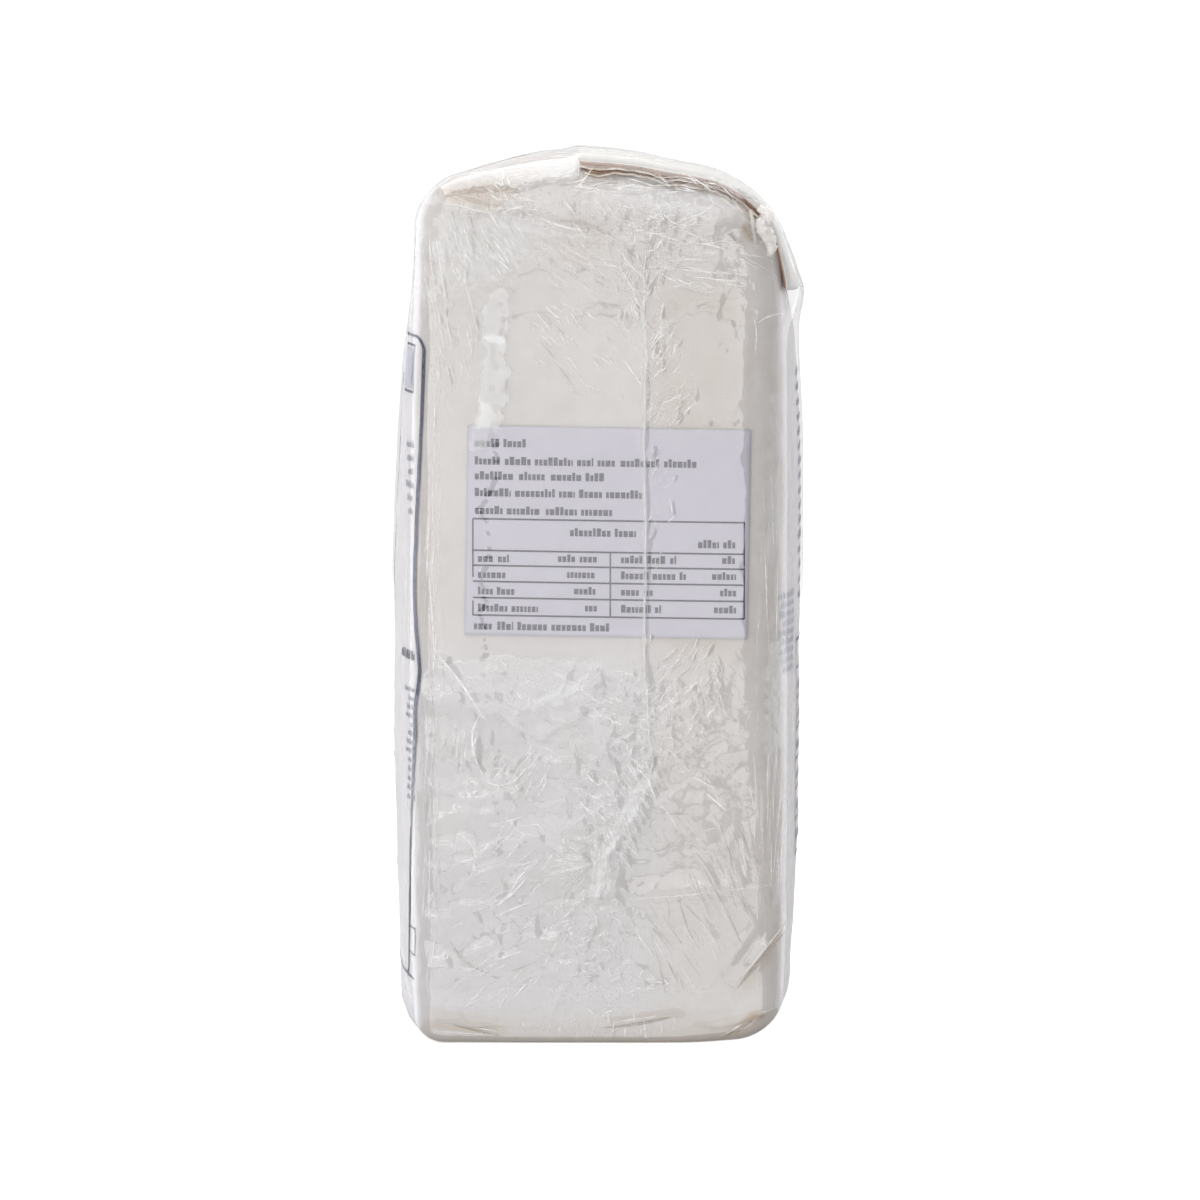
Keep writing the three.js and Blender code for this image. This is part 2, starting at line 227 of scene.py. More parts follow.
class Shell:
    """The whole skin of the pack as one quad mesh, twice as fine on the labelled side.
    q is each vertex's place on the plain block; p its place on the filled pack."""

    def __init__(self, ny1, ny2, nz, nx, nr):
        self.verts, self.faces = [], []
        self.n = 0
        coarse, fine = stops(ny1, ny2, nz), stops(2 * ny1, 2 * ny2, 2 * nz)
        ny = ny1 + ny2
        S = len(coarse)
        x_in = HALF_LENGTH

        def ring(st, sign, frac=None, ang=None):
            rim = st[:, 4]
            if ang is None:
                x = (x_in - rim) * frac
                inset = np.zeros(len(st))
            else:
                x = sign * (x_in - rim * (1 - math.sin(ang)))
                inset = rim * (1 - math.cos(ang))
            return np.stack([x, st[:, 0] - st[:, 2] * inset, st[:, 1] - st[:, 3] * inset], 1)

        # far cap, rim, body at the coarse step
        first_far = ring(coarse, -1, ang=math.pi / 2)
        cap_far, ring_far = self.cap(first_far, ny, nz, flip=True)
        prev = ring_far
        for k in range(nr - 1, 0, -1):
            cur = self.add(ring(coarse, -1, ang=math.pi / 2 * k / nr))
            self.band(prev, cur)
            prev = cur
        for i in range(nx + 1):
            cur = self.add(ring(coarse, 1, frac=-1 + 2 * i / nx))
            self.band(prev, cur)
            prev = cur
        # change of step, then the fine rim and cap
        nr2 = 2 * nr
        cur = self.add(ring(fine, 1, ang=math.pi / 2 * 1 / nr2))
        for k in range(S):
            a, b = prev[k], prev[(k + 1) % S]
            f0, f1, f2 = cur[2 * k], cur[2 * k + 1], cur[(2 * k + 2) % (2 * S)]
            self.faces += [(a, f1, f0), (a, b, f1), (b, f2, f1)]
        prev = cur
        for k in range(2, nr2):
            cur = self.add(ring(fine, 1, ang=math.pi / 2 * k / nr2))
            self.band(prev, cur)
            prev = cur
        cap_near, ring_near = self.cap(ring(fine, 1, ang=math.pi / 2), 2 * ny, 2 * nz, flip=False)
        self.band(prev, ring_near)
        self.q = np.concatenate(self.verts)
        self.near_first = cap_near
        self.tris = [f for f in self.faces if len(f) == 3]
        self.quads = np.array([f for f in self.faces if len(f) == 4])
        del self.faces, self.verts

    def add(self, pts):
        ids = np.arange(self.n, self.n + len(pts))
        self.verts.append(pts)
        self.n += len(pts)
        return ids

    def band(self, a, b):
        n = len(a)
        a2, b2 = np.roll(a, -1), np.roll(b, -1)
        self.faces += list(map(tuple, np.stack([a, a2, b2, b], 1).tolist()))

    def cap(self, loop, ny, nz, flip):
        """A grid whose rim is the loop of 2 (ny + nz) points."""
        B = loop[: ny + 1]
        K = loop[ny : ny + nz + 1]
        T = loop[ny + nz : 2 * ny + nz + 1][::-1]
        F = np.concatenate([loop[2 * ny + nz :], loop[:1]])[::-1]
        u = np.linspace(0, 1, ny + 1)[:, None, None]
        v = np.linspace(0, 1, nz + 1)[None, :, None]
        grid = (
            (1 - v) * B[:, None] + v * T[:, None] + (1 - u) * F[None] + u * K[None]
            - ((1 - u) * (1 - v) * B[0] + u * (1 - v) * B[-1] + (1 - u) * v * T[0] + u * v * T[-1])
        )
        first = self.n
        ids = np.full((ny + 1, nz + 1), -1)
        ring_ids = self.add(loop)
        ids[: ny + 1, 0] = ring_ids[: ny + 1]
        ids[ny, : nz + 1] = ring_ids[ny : ny + nz + 1]
        ids[:, nz] = ring_ids[ny + nz : 2 * ny + nz + 1][::-1]
        ids[0, :] = np.concatenate([ring_ids[2 * ny + nz :], ring_ids[:1]])[::-1]
        inner = grid[1:-1, 1:-1].reshape(-1, 3)
        ids[1:-1, 1:-1] = self.add(inner).reshape(ny - 1, nz - 1)
        f = np.stack([ids[:-1, :-1], ids[1:, :-1], ids[1:, 1:], ids[:-1, 1:]], -1).reshape(-1, 4)
        if flip:
            f = f[:, ::-1]
        self.faces += list(map(tuple, f.tolist()))
        return first, ring_ids


def normals_of(p, quads, tris):
    n = np.zeros_like(p)
    d = np.cross(p[quads[:, 2]] - p[quads[:, 0]], p[quads[:, 3]] - p[quads[:, 1]])
    for k in range(4):
        np.add.at(n, quads[:, k], d)
    if len(tris):
        t = np.array(tris)
        d = np.cross(p[t[:, 1]] - p[t[:, 0]], p[t[:, 2]] - p[t[:, 0]])
        for k in range(3):
            np.add.at(n, t[:, k], d)
    return n / np.maximum(np.linalg.norm(n, axis=1), 1e-12)[:, None]


def make_object(name, p_mm, faces, smooth_shade=True):
    me = bpy.data.meshes.new(name)
    me.from_pydata((p_mm * MM).tolist(), [], faces if isinstance(faces, list) else faces.tolist())
    me.validate()
    if smooth_shade:
        me.polygons.foreach_set("use_smooth", [True] * len(me.polygons))
    me.update()
    ob = bpy.data.objects.new(name, me)
    bpy.context.scene.collection.objects.link(ob)
    return ob


# ------------------------------------------------------------------ materials
def material(name):
    m = bpy.data.materials.new(name)
    m.use_nodes = True
    nt = m.node_tree
    nt.nodes.clear()
    out = nt.nodes.new("ShaderNodeOutputMaterial")
    return m, nt, out


def node(nt, kind, **props):
    n = nt.nodes.new(kind)
    ins = props.pop("inputs", {})
    for k, v in props.items():
        setattr(n, k, v)
    for k, v in ins.items():
        n.inputs[k].default_value = v
    return n


def srgb(r, g, b):
    f = lambda c: (c / 255) / 12.92 if c / 255 <= 0.04045 else (((c / 255) + 0.055) / 1.055) ** 2.4
    return (f(r), f(g), f(b), 1.0)


def ramp(nt, stops_):
    r = nt.nodes.new("ShaderNodeValToRGB")
    while len(r.color_ramp.elements) > len(stops_):
        r.color_ramp.elements.remove(r.color_ramp.elements[-1])
    while len(r.color_ramp.elements) < len(stops_):
        r.color_ramp.elements.new(0.5)
    for e, (pos, col) in zip(r.color_ramp.elements, stops_):
        e.position = pos
        e.color = col
    return r


def paper_material(name, light, dark, fibre=0.22, rough=0.62, wide=None, stain_and_shade=None, cool=None):
    """Uncoated paper: cloudy formation, short fibres, faint machine lines."""
    m, nt, out = material(name)
    L = nt.links.new
    bsdf = node(nt, "ShaderNodeBsdfPrincipled")
    bsdf.inputs["Specular IOR Level"].default_value = 0.25
    tc = node(nt, "ShaderNodeTexCoord")
    cloud = node(nt, "ShaderNodeTexNoise", inputs={"Scale": 260.0, "Detail": 2.0, "Roughness": 0.6})
    L(tc.outputs["Object"], cloud.inputs["Vector"])
    fmap = node(nt, "ShaderNodeMapping")
    fmap.inputs["Scale"].default_value = (1.0, 1.0, 0.28)
    L(tc.outputs["Object"], fmap.inputs["Vector"])
    fib = node(nt, "ShaderNodeTexNoise", inputs={"Scale": 1500.0, "Detail": 1.0, "Roughness": 0.7})
    L(fmap.outputs["Vector"], fib.inputs["Vector"])
    broad = node(nt, "ShaderNodeTexNoise", inputs={"Scale": 34.0, "Detail": 1.0})
    L(tc.outputs["Object"], broad.inputs["Vector"])
    a = node(nt, "ShaderNodeMath", operation="MULTIPLY_ADD", inputs={1: 0.55, 2: 0.0})
    L(cloud.outputs["Fac"], a.inputs[0])
    b = node(nt, "ShaderNodeMath", operation="MULTIPLY_ADD", inputs={1: 0.15})
    L(fib.outputs["Fac"], b.inputs[0])
    L(a.outputs[0], b.inputs[2])
    c = node(nt, "ShaderNodeMath", operation="MULTIPLY_ADD", inputs={1: 0.35})
    L(broad.outputs["Fac"], c.inputs[0])
    L(b.outputs[0], c.inputs[2])
    r = ramp(nt, [(0.38, dark), (0.72, light)])
    L(c.outputs[0], r.inputs["Fac"])
    colour = r.outputs["Color"]
    if wide is not None:
        # the printed wide faces are bleached whiter than the narrow sides
        geo = node(nt, "ShaderNodeNewGeometry")
        sep = node(nt, "ShaderNodeSeparateXYZ")
        L(geo.outputs["Normal"], sep.inputs[0])
        ab = node(nt, "ShaderNodeMath", operation="ABSOLUTE")
        L(sep.outputs["Y"], ab.inputs[0])
        mr = node(nt, "ShaderNodeMapRange", inputs={"From Min": 0.80, "From Max": 0.98})
        mr.interpolation_type = "SMOOTHSTEP"
        L(ab.outputs[0], mr.inputs["Value"])
        mx = node(nt, "ShaderNodeMix", data_type="RGBA")
        mul = node(nt, "ShaderNodeMix", data_type="RGBA", blend_type="MULTIPLY", inputs={"Factor": 1.0})
        L(colour, mul.inputs[6])
        mul.inputs[7].default_value = wide
        L(mr.outputs["Result"], mx.inputs["Factor"])
        L(colour, mx.inputs[6])
        L(mul.outputs[2], mx.inputs[7])
        colour = mx.outputs[2]
    if stain_and_shade is not None:
        # browner where the mesh attribute asks: a little random tone, painted shade in the folded hollow, creases, fold
        # facets, right of the seam and along the bottom edge, and kraft brown with painted shade by the knob
        at_ = node(nt, "ShaderNodeAttribute", attribute_name="tone_and_shade")
        sx = node(nt, "ShaderNodeMix", data_type="RGBA", blend_type="MULTIPLY")
        L(at_.outputs["Fac"], sx.inputs["Factor"])
        L(colour, sx.inputs[6])
        sx.inputs[7].default_value = stain_and_shade
        colour = sx.outputs[2]
    if cool is not None:
        # and over the lower front part of the labelled side, cooler
        at_ = node(nt, "ShaderNodeAttribute", attribute_name="cool")
        sx = node(nt, "ShaderNodeMix", data_type="RGBA", blend_type="MULTIPLY")
        L(at_.outputs["Fac"], sx.inputs["Factor"])
        L(colour, sx.inputs[6])
        sx.inputs[7].default_value = cool
        colour = sx.outputs[2]
    L(colour, bsdf.inputs["Base Color"])
    rr = node(nt, "ShaderNodeMapRange", inputs={"To Min": rough - 0.08, "To Max": rough + 0.1})
    L(fib.outputs["Fac"], rr.inputs["Value"])
    L(rr.outputs["Result"], bsdf.inputs["Roughness"])
    bump = node(nt, "ShaderNodeBump", inputs={"Strength": fibre, "Distance": 0.00006})
    L(fib.outputs["Fac"], bump.inputs["Height"])
    bump2 = node(nt, "ShaderNodeBump", inputs={"Strength": 0.35, "Distance": 0.0005})
    L(cloud.outputs["Fac"], bump2.inputs["Height"])
    L(bump.outputs["Normal"], bump2.inputs["Normal"])
    L(bump2.outputs["Normal"], bsdf.inputs["Normal"])
    L(bsdf.outputs[0], out.inputs["Surface"])
    return m


def film_material(name, haze=0.02, rough=0.045, bump_mm=0.05, ior=1.53, most=0.25, upright_folds=False, tint=(0.90, 0.895, 0.892, 1)):
    """Clear shrink film: see-through, mirror-like at a slant, whitened by a mesh attribute: haze where it is creased,
    and painted reflection in broad fields.
    """
    m, nt, out = material(name)
    L = nt.links.new
    tc = node(nt, "ShaderNodeTexCoord")

    def creases(scale, width, turn=0.0, stretch=1.0, attribute="crinkle", distort=0.5):
        """Thin crease lines: the middle contour of a noise, where the attribute asks for them."""
        vec = tc.outputs["Object"]
        if turn or stretch != 1.0:
            m1 = node(nt, "ShaderNodeMapping")
            m1.inputs["Rotation"].default_value = (math.radians(turn), 0, 0)
            L(vec, m1.inputs["Vector"])
            m2 = node(nt, "ShaderNodeMapping")
            m2.inputs["Scale"].default_value = (1.0, stretch, 1.0)
            L(m1.outputs["Vector"], m2.inputs["Vector"])
            vec = m2.outputs["Vector"]
        nz_ = node(nt, "ShaderNodeTexNoise", inputs={"Scale": scale, "Detail": 1.0, "Roughness": 0.5, "Distortion": distort})
        L(vec, nz_.inputs["Vector"])
        off = node(nt, "ShaderNodeMath", operation="SUBTRACT", inputs={1: 0.5})
        L(nz_.outputs["Fac"], off.inputs[0])
        mag = node(nt, "ShaderNodeMath", operation="ABSOLUTE")
        L(off.outputs[0], mag.inputs[0])
        line = node(nt, "ShaderNodeMapRange", inputs={"From Min": 0.0, "From Max": width, "To Min": 1.0, "To Max": 0.0})
        line.interpolation_type = "SMOOTHSTEP"
        L(mag.outputs[0], line.inputs["Value"])
        w_ = node(nt, "ShaderNodeAttribute", attribute_name=attribute)
        o = node(nt, "ShaderNodeMath", operation="MULTIPLY")
        L(line.outputs["Result"], o.inputs[0])
        L(w_.outputs["Fac"], o.inputs[1])
        return o.outputs[0]

    def add(a_, b_):
        o = node(nt, "ShaderNodeMath", operation="ADD")
        L(a_, o.inputs[0])
        L(b_, o.inputs[1])
        return o.outputs[0]

    webs = creases(330.0, 0.040)
    hgt = webs if not upright_folds else add(webs, creases(300.0, 0.05, 90.0, 0.12, "folds", 0.2))
    bump = node(nt, "ShaderNodeBump", inputs={"Strength": 1.0, "Distance": bump_mm * MM})
    L(hgt, bump.inputs["Height"])
    clear = node(nt, "ShaderNodeBsdfTransparent")
    shine = node(nt, "ShaderNodeBsdfGlossy")
    shine.inputs["Roughness"].default_value = rough
    shine.inputs["Color"].default_value = (1, 1, 1, 1)
    L(bump.outputs["Normal"], shine.inputs["Normal"])
    # both faces of the film reflect: 2F / (1 + F)
    fres = node(nt, "ShaderNodeFresnel", inputs={"IOR": ior})
    L(bump.outputs["Normal"], fres.inputs["Normal"])
    twice = node(nt, "ShaderNodeMath", operation="MULTIPLY", inputs={1: 2.0})
    L(fres.outputs[0], twice.inputs[0])
    plus = node(nt, "ShaderNodeMath", operation="ADD", inputs={1: 1.0})
    L(fres.outputs[0], plus.inputs[0])
    both = node(nt, "ShaderNodeMath", operation="DIVIDE", use_clamp=True)
    L(twice.outputs[0], both.inputs[0])
    L(plus.outputs[0], both.inputs[1])
    top = node(nt, "ShaderNodeMath", operation="MINIMUM", inputs={1: most})
    L(both.outputs[0], top.inputs[0])
    surf = node(nt, "ShaderNodeMixShader")
    L(top.outputs[0], surf.inputs["Fac"])
    L(clear.outputs[0], surf.inputs[1])
    L(shine.outputs[0], surf.inputs[2])
    # diffuse white mixed in by the attribute: haze of the film, and painted reflection and highlights
    milk_and_sheen = node(nt, "ShaderNodeBsdfDiffuse", inputs={"Color": tint})
    at_ = node(nt, "ShaderNodeAttribute", attribute_name="milk_and_sheen")
    lines = node(nt, "ShaderNodeMath", operation="MULTIPLY_ADD", inputs={1: 0.07, 2: haze})
    L(hgt, lines.inputs[0])
    amount = node(nt, "ShaderNodeMath", operation="ADD", use_clamp=True)
    L(at_.outputs["Fac"], amount.inputs[0])
    L(lines.outputs[0], amount.inputs[1])
    whole = node(nt, "ShaderNodeMixShader")
    L(amount.outputs[0], whole.inputs["Fac"])
    L(surf.outputs[0], whole.inputs[1])
    L(milk_and_sheen.outputs[0], whole.inputs[2])
    L(whole.outputs[0], out.inputs["Surface"])
    return m


def ink_material(name, colour, paper, cover=0.92):
    """Printing ink with the paper's tooth showing through."""
    m, nt, out = material(name)
    L = nt.links.new
    bsdf = node(nt, "ShaderNodeBsdfPrincipled", inputs={"Roughness": 0.55})
    bsdf.inputs["Specular IOR Level"].default_value = 0.3
    tc = node(nt, "ShaderNodeTexCoord")
    nz_ = node(nt, "ShaderNodeTexNoise", inputs={"Scale": 3200.0, "Detail": 3.0, "Roughness": 0.7})
    L(tc.outputs["Object"], nz_.inputs["Vector"])
    r = ramp(nt, [(0.30, mix(np.array(colour), np.array(paper), 1 - cover * 0.55).tolist()), (0.55, colour)])
    L(nz_.outputs["Fac"], r.inputs["Fac"])
    L(r.outputs["Color"], bsdf.inputs["Base Color"])
    L(bsdf.outputs[0], out.inputs["Surface"])
    return m


# ------------------------------------------------------------------ relief of the paper
def plus_side(q):
    """1 on the flat of the labelled side, fading round its rim."""
    return smooth((q[:, 0] - (HALF_LENGTH - 7.5)) / 6.0)


def flap_cover(q):
    """Where the closure flap lies over the top and the back shoulder, 0 to 1."""
    x, y, z = q.T
    top = smooth((z - (SHOULDER_Z - 22)) / 5.0)
    start = smooth((y - FLAP_START_Y + 4.5) / 5.0)
    ends = smooth((59.5 - np.abs(x)) / 3.5)
    hang = smooth((z - FLAP_LIP_Z + 6.5) / 6.0)
    return top * start * ends * hang


def crease(y, z, a, b, width, depth, taper=0.25):
    """A straight crease from a to b (mm on the face), with soft ends."""
    ay, az = a
    by, bz = b
    L2 = (by - ay) ** 2 + (bz - az) ** 2
    t = ((y - ay) * (by - ay) + (z - az) * (bz - az)) / L2
    tc_ = np.clip(t, 0, 1)
    d = np.hypot(y - (ay + tc_ * (by - ay)), z - (az + tc_ * (bz - az)))
    ends = smooth(t / taper + 0.2) * smooth((1 - t) / taper + 0.2)
    return depth * np.exp(-((d / width) ** 2)) * ends


def polygon_depth(y, z, pts, soft):
    """Signed-distance weight: 1 inside a convex polygon (counter-clockwise), fading over soft mm."""
    w = np.ones_like(y)
    n = len(pts)
    for i in range(n):
        (ay, az), (by, bz) = pts[i], pts[(i + 1) % n]
        ln = math.hypot(by - ay, bz - az)
        inside = ((by - ay) * (z - az) - (bz - az) * (y - ay)) / ln
        w = w * smooth(inside / soft + 0.5)
    return w


def film_gap(q, body, foot):
    """Clearance that is smaller round the foot, where the film is drawn tight."""
    return mix(foot, body, smooth((q[:, 2] - 3) / 22))


def paper_relief(q, p):
    x, y, z = q[:, 0], p[:, 1], p[:, 2]
    s3 = q / 26.0
    h = 0.30 * N1.fbm(s3, 3)
    h += 0.10 * N2.fbm(q / 7.0, 2) * smooth((np.abs(y) - 24) / 14)
    near = plus_side(q)
    # the folded hollow at the front end of the top, and the fold edges round it
    hollow = polygon_depth(y, z, [at(438, 193), at(488, 208), at(512, 184), at(497, 176), at(452, 176)], 1.6)
    h -= near * 1.5 * hollow
    h += near * crease(y, z, at(424, 200), at(492, 214), 1.0, 0.8)
    h += near * crease(y, z, at(492, 214), at(512, 188), 0.9, 0.6)
    # the long folds of the gusset tuck
    h += near * crease(y, z, at(505, 190), at(570, 222), 1.2, 0.35)
    h -= near * crease(y, z, at(570, 222), at(690, 232), 2.4, 0.3)
    # the block base: the fold that runs in from each lower corner
    h += near * crease(y, z, at(421, 1018), at(512, 1033), 0.9, 0.55)
    h += near * crease(y, z, at(430, 1003), at(470, 1018), 1.6, 0.5)
    h -= near * crease(y, z, at(452, 1012), at(640, 1010), 1.6, 0.25)
    h += near * crease(y, z, at(600, 1019), at(690, 1011), 1.4, 0.3)
    h += near * crease(y, z, at(700, 1036), at(770, 1010), 1.1, 0.5)
    h -= near * crease(y, z, at(725, 1040), at(768, 1018), 0.8, 0.6)
    # the same folds, plainer, on the far side
    far = smooth((-x - (HALF_LENGTH - 7.5)) / 6.0)
    h += far * (
        crease(y, z, (-33, 5), (0, 16), 1.2, 0.5)
        + crease(y, z, (34, 6), (2, 17), 1.2, 0.5)
        - crease(y, z, (-28, 181), (0, 168), 1.6, 0.5)
        - crease(y, z, (28, 180), (0, 168), 1.6, 0.5)
    )
    # underside: the folded flaps of the block base
    under = smooth((4.0 - z) / 3.0)
    for sx in (-1, 1):
        for sy in (-1, 1):
            h -= under * crease(x, y, (sx * 56, sy * 30), (sx * 24, sy * 1), 0.8, 0.35)
    h -= under * crease(x, y, (-24, 1), (24, 1), 0.8, 0.35)
    h = np.where(z < 4.0, np.minimum(h, 0.0) * 0.6, h)
    return h


def paper_tone_and_shade(q, p):
    """How brown the paper is, 0 to 1: a little random tone, and painted shade in the folded hollow, below the gusset
    fold, right of the seam, on the base folds, in creases and along the bottom edge; by the knob kraft brown with
    painted shade.
    """
    x, y, z = q[:, 0], p[:, 1], p[:, 2]
    near = plus_side(q)
    P = lambda *pts: [at(*c) for c in pts]
    t = 0.10 * np.clip(N2.fbm(q / 18.0, 3), 0, 1)
    # painted shade: browner in the folded hollow at the front of the top and just below the gusset fold
    t += near * 0.60 * polygon_depth(y, z, P((440, 200), (500, 208), (524, 188), (505, 174), (450, 176)), 2.0)
    t += near * 0.20 * polygon_depth(y, z, P((555, 262), (598, 262), (612, 222), (560, 216)), 4.0)
    # painted shade: a browner field right of the seam, where the film mirrors less light
    t += near * 0.34 * polygon_depth(y, z, P((656, 650), (736, 650), (736, 282), (656, 282)), 9.0)
    # darker towards the bottom, and painted shade on the base fold facets
    t += near * 0.24 * smooth((9.5 - z) / 6.0)
    t += near * 0.22 * polygon_depth(y, z, P((424, 1030), (505, 1037), (512, 1020), (430, 1008)), 1.4)
    t += near * 0.10 * polygon_depth(y, z, P((450, 1047), (760, 1047), (760, 1030), (450, 1030)), 1.6)
    t += near * 0.24 * polygon_depth(y, z, P((722, 1040), (764, 1036), (778, 1010), (752, 1010)), 1.2)
    t += near * 0.30 * polygon_depth(y, z, P((736, 990), (756, 984), (796, 928), (776, 936)), 1.6)
    # painted shade along the creases
    t += near * crease(y, z, at(495, 165), at(562, 157), 0.6, 0.8)
    t += near * crease(y, z, at(600, 1024), at(690, 1010), 1.2, 0.28)
    t += near * crease(y, z, at(725, 1039), at(758, 1012), 0.6, 0.7)
    t += near * crease(y, z, at(424, 1026), at(512, 1034), 0.5, 0.5)
    t += near * crease(y, z, at(750, 1020), at(766, 1016), 0.5, 0.9)
    # painted shade along the bottom edge, where it meets the floor
    t += 0.9 * np.exp(-np.clip(z, 0, None) / 0.8)
    # by the knob: kraft brown and painted shade in the gaps
    t += near * 1.3 * polygon_depth(y, z, P((732, 203), (750, 219), (758, 209), (742, 198)), 0.7)
    t += near * 1.3 * polygon_depth(y, z, P((741, 224), (750, 241), (757, 237), (751, 221)), 0.7)
    t += near * 0.5 * polygon_depth(y, z, P((716, 196), (736, 206), (742, 200), (724, 190)), 0.6)
    return np.clip(t, 0, 1)


# ------------------------------------------------------------------ relief of the film
class Relief:
    """Heights and whitening of the film on the labelled side, at points (Y, Z) in mm; the whitening is haze and painted
    reflection, and lines and darks hold paths for painted highlight and painted shade ribbons.
    """

    def __init__(self, Y, Z):
        self.Y, self.Z = Y, Z
        self.h = np.zeros(len(Y))
        self.m = np.zeros(len(Y))
        self.lines, self.darks = [], []

    def stroke(self, pts, width, height, profile="ridge", milk_and_sheen=None):
        """A tapering ridge, step or fold along a few points."""
        pts = np.asarray(pts, float)
        lo, hi = pts.min(0) - 3.2 * width, pts.max(0) + 3.2 * width
        m = np.nonzero((self.Y > lo[0]) & (self.Y < hi[0]) & (self.Z > lo[1]) & (self.Z < hi[1]))[0]
        if not len(m):
            return
        y, z = self.Y[m], self.Z[m]
        seg = np.diff(pts, axis=0)
        ln = np.maximum(np.linalg.norm(seg, axis=1), 1e-6)
        cum = np.concatenate([[0], np.cumsum(ln)])
        best, where, side = np.full(len(y), 1e9), np.zeros(len(y)), np.zeros(len(y))
        for i in range(len(seg)):
            t = np.clip(((y - pts[i, 0]) * seg[i, 0] + (z - pts[i, 1]) * seg[i, 1]) / ln[i] ** 2, 0, 1)
            dy, dz = y - (pts[i, 0] + t * seg[i, 0]), z - (pts[i, 1] + t * seg[i, 1])
            d = np.hypot(dy, dz)
            b = d < best
            best = np.where(b, d, best)
            where = np.where(b, (cum[i] + t * ln[i]) / cum[-1], where)
            side = np.where(b, (seg[i, 0] * dz - seg[i, 1] * dy) / ln[i], side)
        taper = np.sin(np.pi * np.clip(where, 0.02, 0.98)) ** 0.6
        bell = np.exp(-((best / width) ** 2))
        if profile == "ridge":
            v = bell
        else:
            v = 0.5 * (1 + np.tanh(side / width)) * np.exp(-((best / (3.4 * width)) ** 2))
        self.h[m] += height * v * taper
        if milk_and_sheen is None:
            milk_and_sheen = min(0.35 * abs(height) / width, 0.12)
        self.m[m] = np.maximum(self.m[m], milk_and_sheen * bell * taper)

    def zone(self, centre, size, soft=0.6):
        """1 inside an ellipse given in px of the frame, fading outwards."""
        cy, cz = at(*centre)
        d = np.hypot((self.Y - cy) / (size[0] * PX), (self.Z - cz) / (size[1] * PX))
        return smooth((1 + soft - d) / soft)

    def dimples(self, cell, radius, seed, warp=0.35, stretch=1.0):
        """Shallow dished cells with sharp borders, as buckled film has."""
        rng = np.random.default_rng(seed)
        n = 160
        off = rng.random((n, n, 3))
        P = np.stack([self.Y, self.Z, np.full(len(self.Y), seed * 1.7)], 1)
        wy = N1.fbm(P / (cell * 0.7), 2) * cell * warp
        wz = N2.fbm(P / (cell * 0.7), 2) * cell * warp
        u = (self.Y + wy) / cell + 60
        v = (self.Z + wz) / (cell * stretch) + 20
        iu, iv = np.floor(u).astype(int), np.floor(v).astype(int)
        best = np.full(len(u), 1e9)
        for du in (-1, 0, 1):
            for dv in (-1, 0, 1):
                a, b = (iu + du) % n, (iv + dv) % n
                cu, cv = iu + du + off[a, b, 0], iv + dv + off[a, b, 1]
                d2 = ((u - cu) ** 2 + (v - cv) ** 2) * cell**2
                best = np.minimum(best, d2 / (2 * radius) + off[a, b, 2] * cell**2 * 0.10 / radius)
        return best


def px_path(*pts):
    return [at(*p_) for p_ in pts]


def fan(R, rng, centre, size, angle, n, length, width, height, spread=12, bend=0.07, milk_and_sheen=None, dark=0.04, bright=0.10):
    """n strokes about a centre (px), within size (px), at an angle (degrees from right, up positive); twice as many
    ribbons go with them, painted highlights and now and then painted shade.
    """
    for k_ in range(int(n * 2.0)):
        u_ = math.sqrt(rng.random()) * (1 + 0.25 * rng.random())
        v_ = rng.uniform(0, 2 * math.pi)
        c = np.array(centre) + np.array([math.cos(v_), math.sin(v_)]) * u_ * np.array(size)
        a = math.radians(angle + rng.normal() * spread)
        ln = length * rng.uniform(0.45, 1.3)
        d = np.array([math.cos(a), -math.sin(a)])
        perp = np.array([d[1], -d[0]])
        k = rng.normal() * bend * ln
        pts = px_path(c - d * ln / 2, c + perp * k * 0.5, c + d * ln / 2)
        w = width * rng.uniform(0.75, 1.3) * PX
        s = height * rng.uniform(0.4, 1.2) * (1 if rng.random() < 0.7 else -0.8)
        if k_ < n:
            R.stroke(pts, w, s, milk_and_sheen=milk_and_sheen)
        # each stroke's ribbon: now and then painted shade, otherwise a painted highlight
        if rng.random() < dark:
            R.darks.append((pts, rng.uniform(0.2, 0.5), rng.uniform(0.10, 0.34)))
        else:
            R.lines.append((pts, rng.uniform(0.13, 0.32), bright + 0.65 * rng.random() ** 2.2))


def curls(R, rng, centre, size, n, r_px, width, height, squash=1.0):
    """Small hooked wrinkles, as where film has puckered, each with a painted highlight ribbon."""
    for _ in range(n):
        c = np.array(centre) + rng.normal(size=2) * np.array(size)
        r0 = r_px * rng.uniform(0.5, 1.4)
        a0 = rng.uniform(0, 360)
        arc = np.radians(np.linspace(a0, a0 + rng.uniform(90, 250), 6))
        pts = [at(c[0] + r0 * math.cos(a), c[1] + squash * r0 * math.sin(a)) for a in arc]
        R.stroke(pts, width * PX, height * rng.uniform(0.5, 1.2))
        R.lines.append((pts, rng.uniform(0.16, 0.32), rng.uniform(0.12, 0.5)))


SEAM_RUN = [(646, 240), (643, 300), (646, 360), (644, 440), (646, 560), (644, 640), (647, 700), (652, 770)]
SLANT_RUN = [(652, 770), (640, 800), (622, 832), (606, 852), (600, 872), (598, 896)]
FOOT_RUN = [(598, 896), (592, 930), (578, 965), (556, 1005), (542, 1030)]


